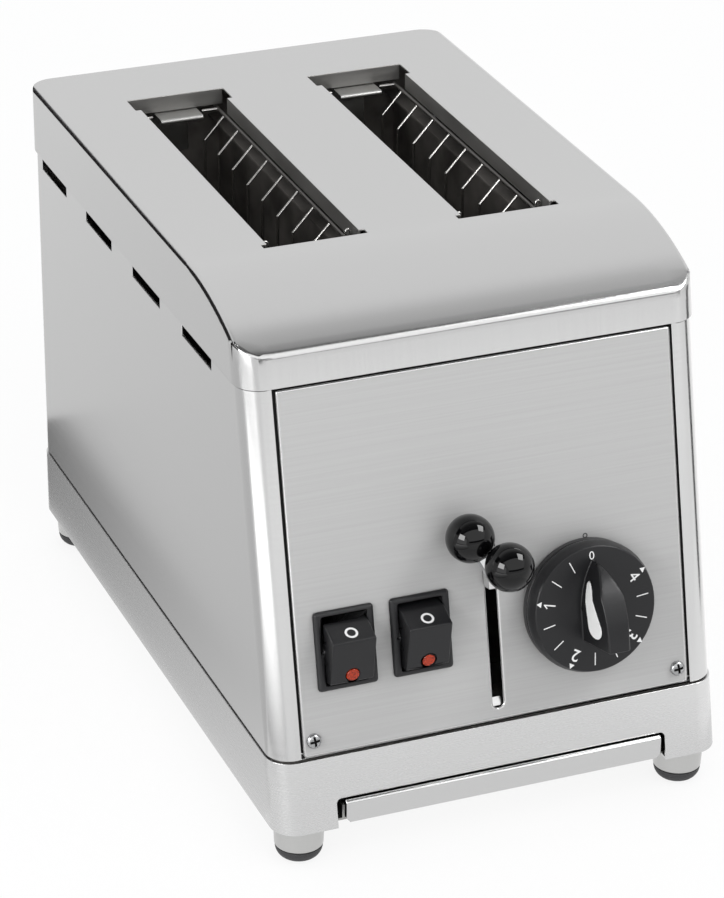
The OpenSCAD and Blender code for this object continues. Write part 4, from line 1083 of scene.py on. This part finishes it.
# Moulded natural nylon of the bushes: cream and waxy, with clouds of 4 mm.
nylon, tree, shader = start_material("natural_nylon")
shader.inputs["Roughness"].default_value = 0.5
shader.inputs["Subsurface Weight"].default_value = 0.1
shader.inputs["Subsurface Scale"].default_value = 0.002
place = add_node(tree, "ShaderNodeTexCoord")
cloud_size = 0.004
cloud = add_node(tree, "ShaderNodeTexNoise", [(place, "Object", "Vector")], {"Scale": 1 / cloud_size})
tint = add_node(tree, "ShaderNodeValToRGB", [(cloud, 0, 0)])
tint.color_ramp.elements[0].color = linear("#D8D0B8")
tint.color_ramp.elements[1].color = linear("#E6E0CC")
tree.links.new(tint.outputs[0], shader.inputs["Base Color"])
dress(nylon, "guide_bushes")

# Polished thermoset of the ball knobs: deep black and mirror-bright, with a haze 4 mm across.
ball_black, tree, shader = start_material("polished_phenolic")
shader.inputs["Base Color"].default_value = linear("#060607")
shader.inputs["Specular IOR Level"].default_value = 0.3
place = add_node(tree, "ShaderNodeTexCoord")
haze_size = 0.004
haze = add_node(tree, "ShaderNodeTexNoise", [(place, "Object", "Vector")], {"Scale": 1 / haze_size})
gloss = add_node(tree, "ShaderNodeMapRange", [(haze, 0, "Value")], {"To Min": 0.015, "To Max": 0.03})
tree.links.new(gloss.outputs[0], shader.inputs["Roughness"])

# Each rod runs from its seat on the arm to the middle of its ball, which is cut flat at the neck.
ball_r = 0.0099
bore_r = 0.0025
bore_sunk = 0.0004
neck = math.radians(17)
ball_steps = 36
for name, seat, spot in (("inner", (0, 61.5, 4.5), (-11.8, 81.8, 10.8)),
                         ("outer", (0, 69.5, 4.5), (-2.0, 72.1, 26.0))):
    middle = on_panel(*spot).translation
    along = (middle - on_panel(*seat).translation).normalized()
    turned = Matrix.Translation(middle) @ along.to_track_quat("Z", "Y").to_matrix().to_4x4()
    profile = [(bore_r, -ball_r * math.cos(neck) + bore_sunk)]
    for k in range(ball_steps + 1):
        angle = neck + (math.pi - neck) * k / ball_steps
        profile.append((ball_r * math.sin(angle), -ball_r * math.cos(angle)))
    profile[-1] = (0, ball_r)
    lathe("ball_knob_" + name + "_turned", profile, turned, ball_black, "lift",
          segments=72, replaced=("ball_knob_" + name,))

# Supply. A glazed ceramic terminal block stands behind the rear wall, and a moulded gland with a
# hexagonal nut is screwed into the back sheet.

# Glazed ceramic: cream and shiny, with faint specks of 2 mm.
glazed, tree, shader = start_material("glazed_ceramic")
shader.inputs["Roughness"].default_value = 0.18
place = add_node(tree, "ShaderNodeTexCoord")
speck_size = 0.002
speck = add_node(tree, "ShaderNodeTexNoise", [(place, "Object", "Vector")], {"Scale": 1 / speck_size})
tint = add_node(tree, "ShaderNodeValToRGB", [(speck, 0, 0)])
tint.color_ramp.elements[0].color = linear("#DAD6CA")
tint.color_ramp.elements[1].color = linear("#EDEAE0")
tree.links.new(tint.outputs[0], shader.inputs["Base Color"])
dress(glazed, "terminal_block")
soften("cord_gland", switch_abs, "casing", rounding=0.0004)
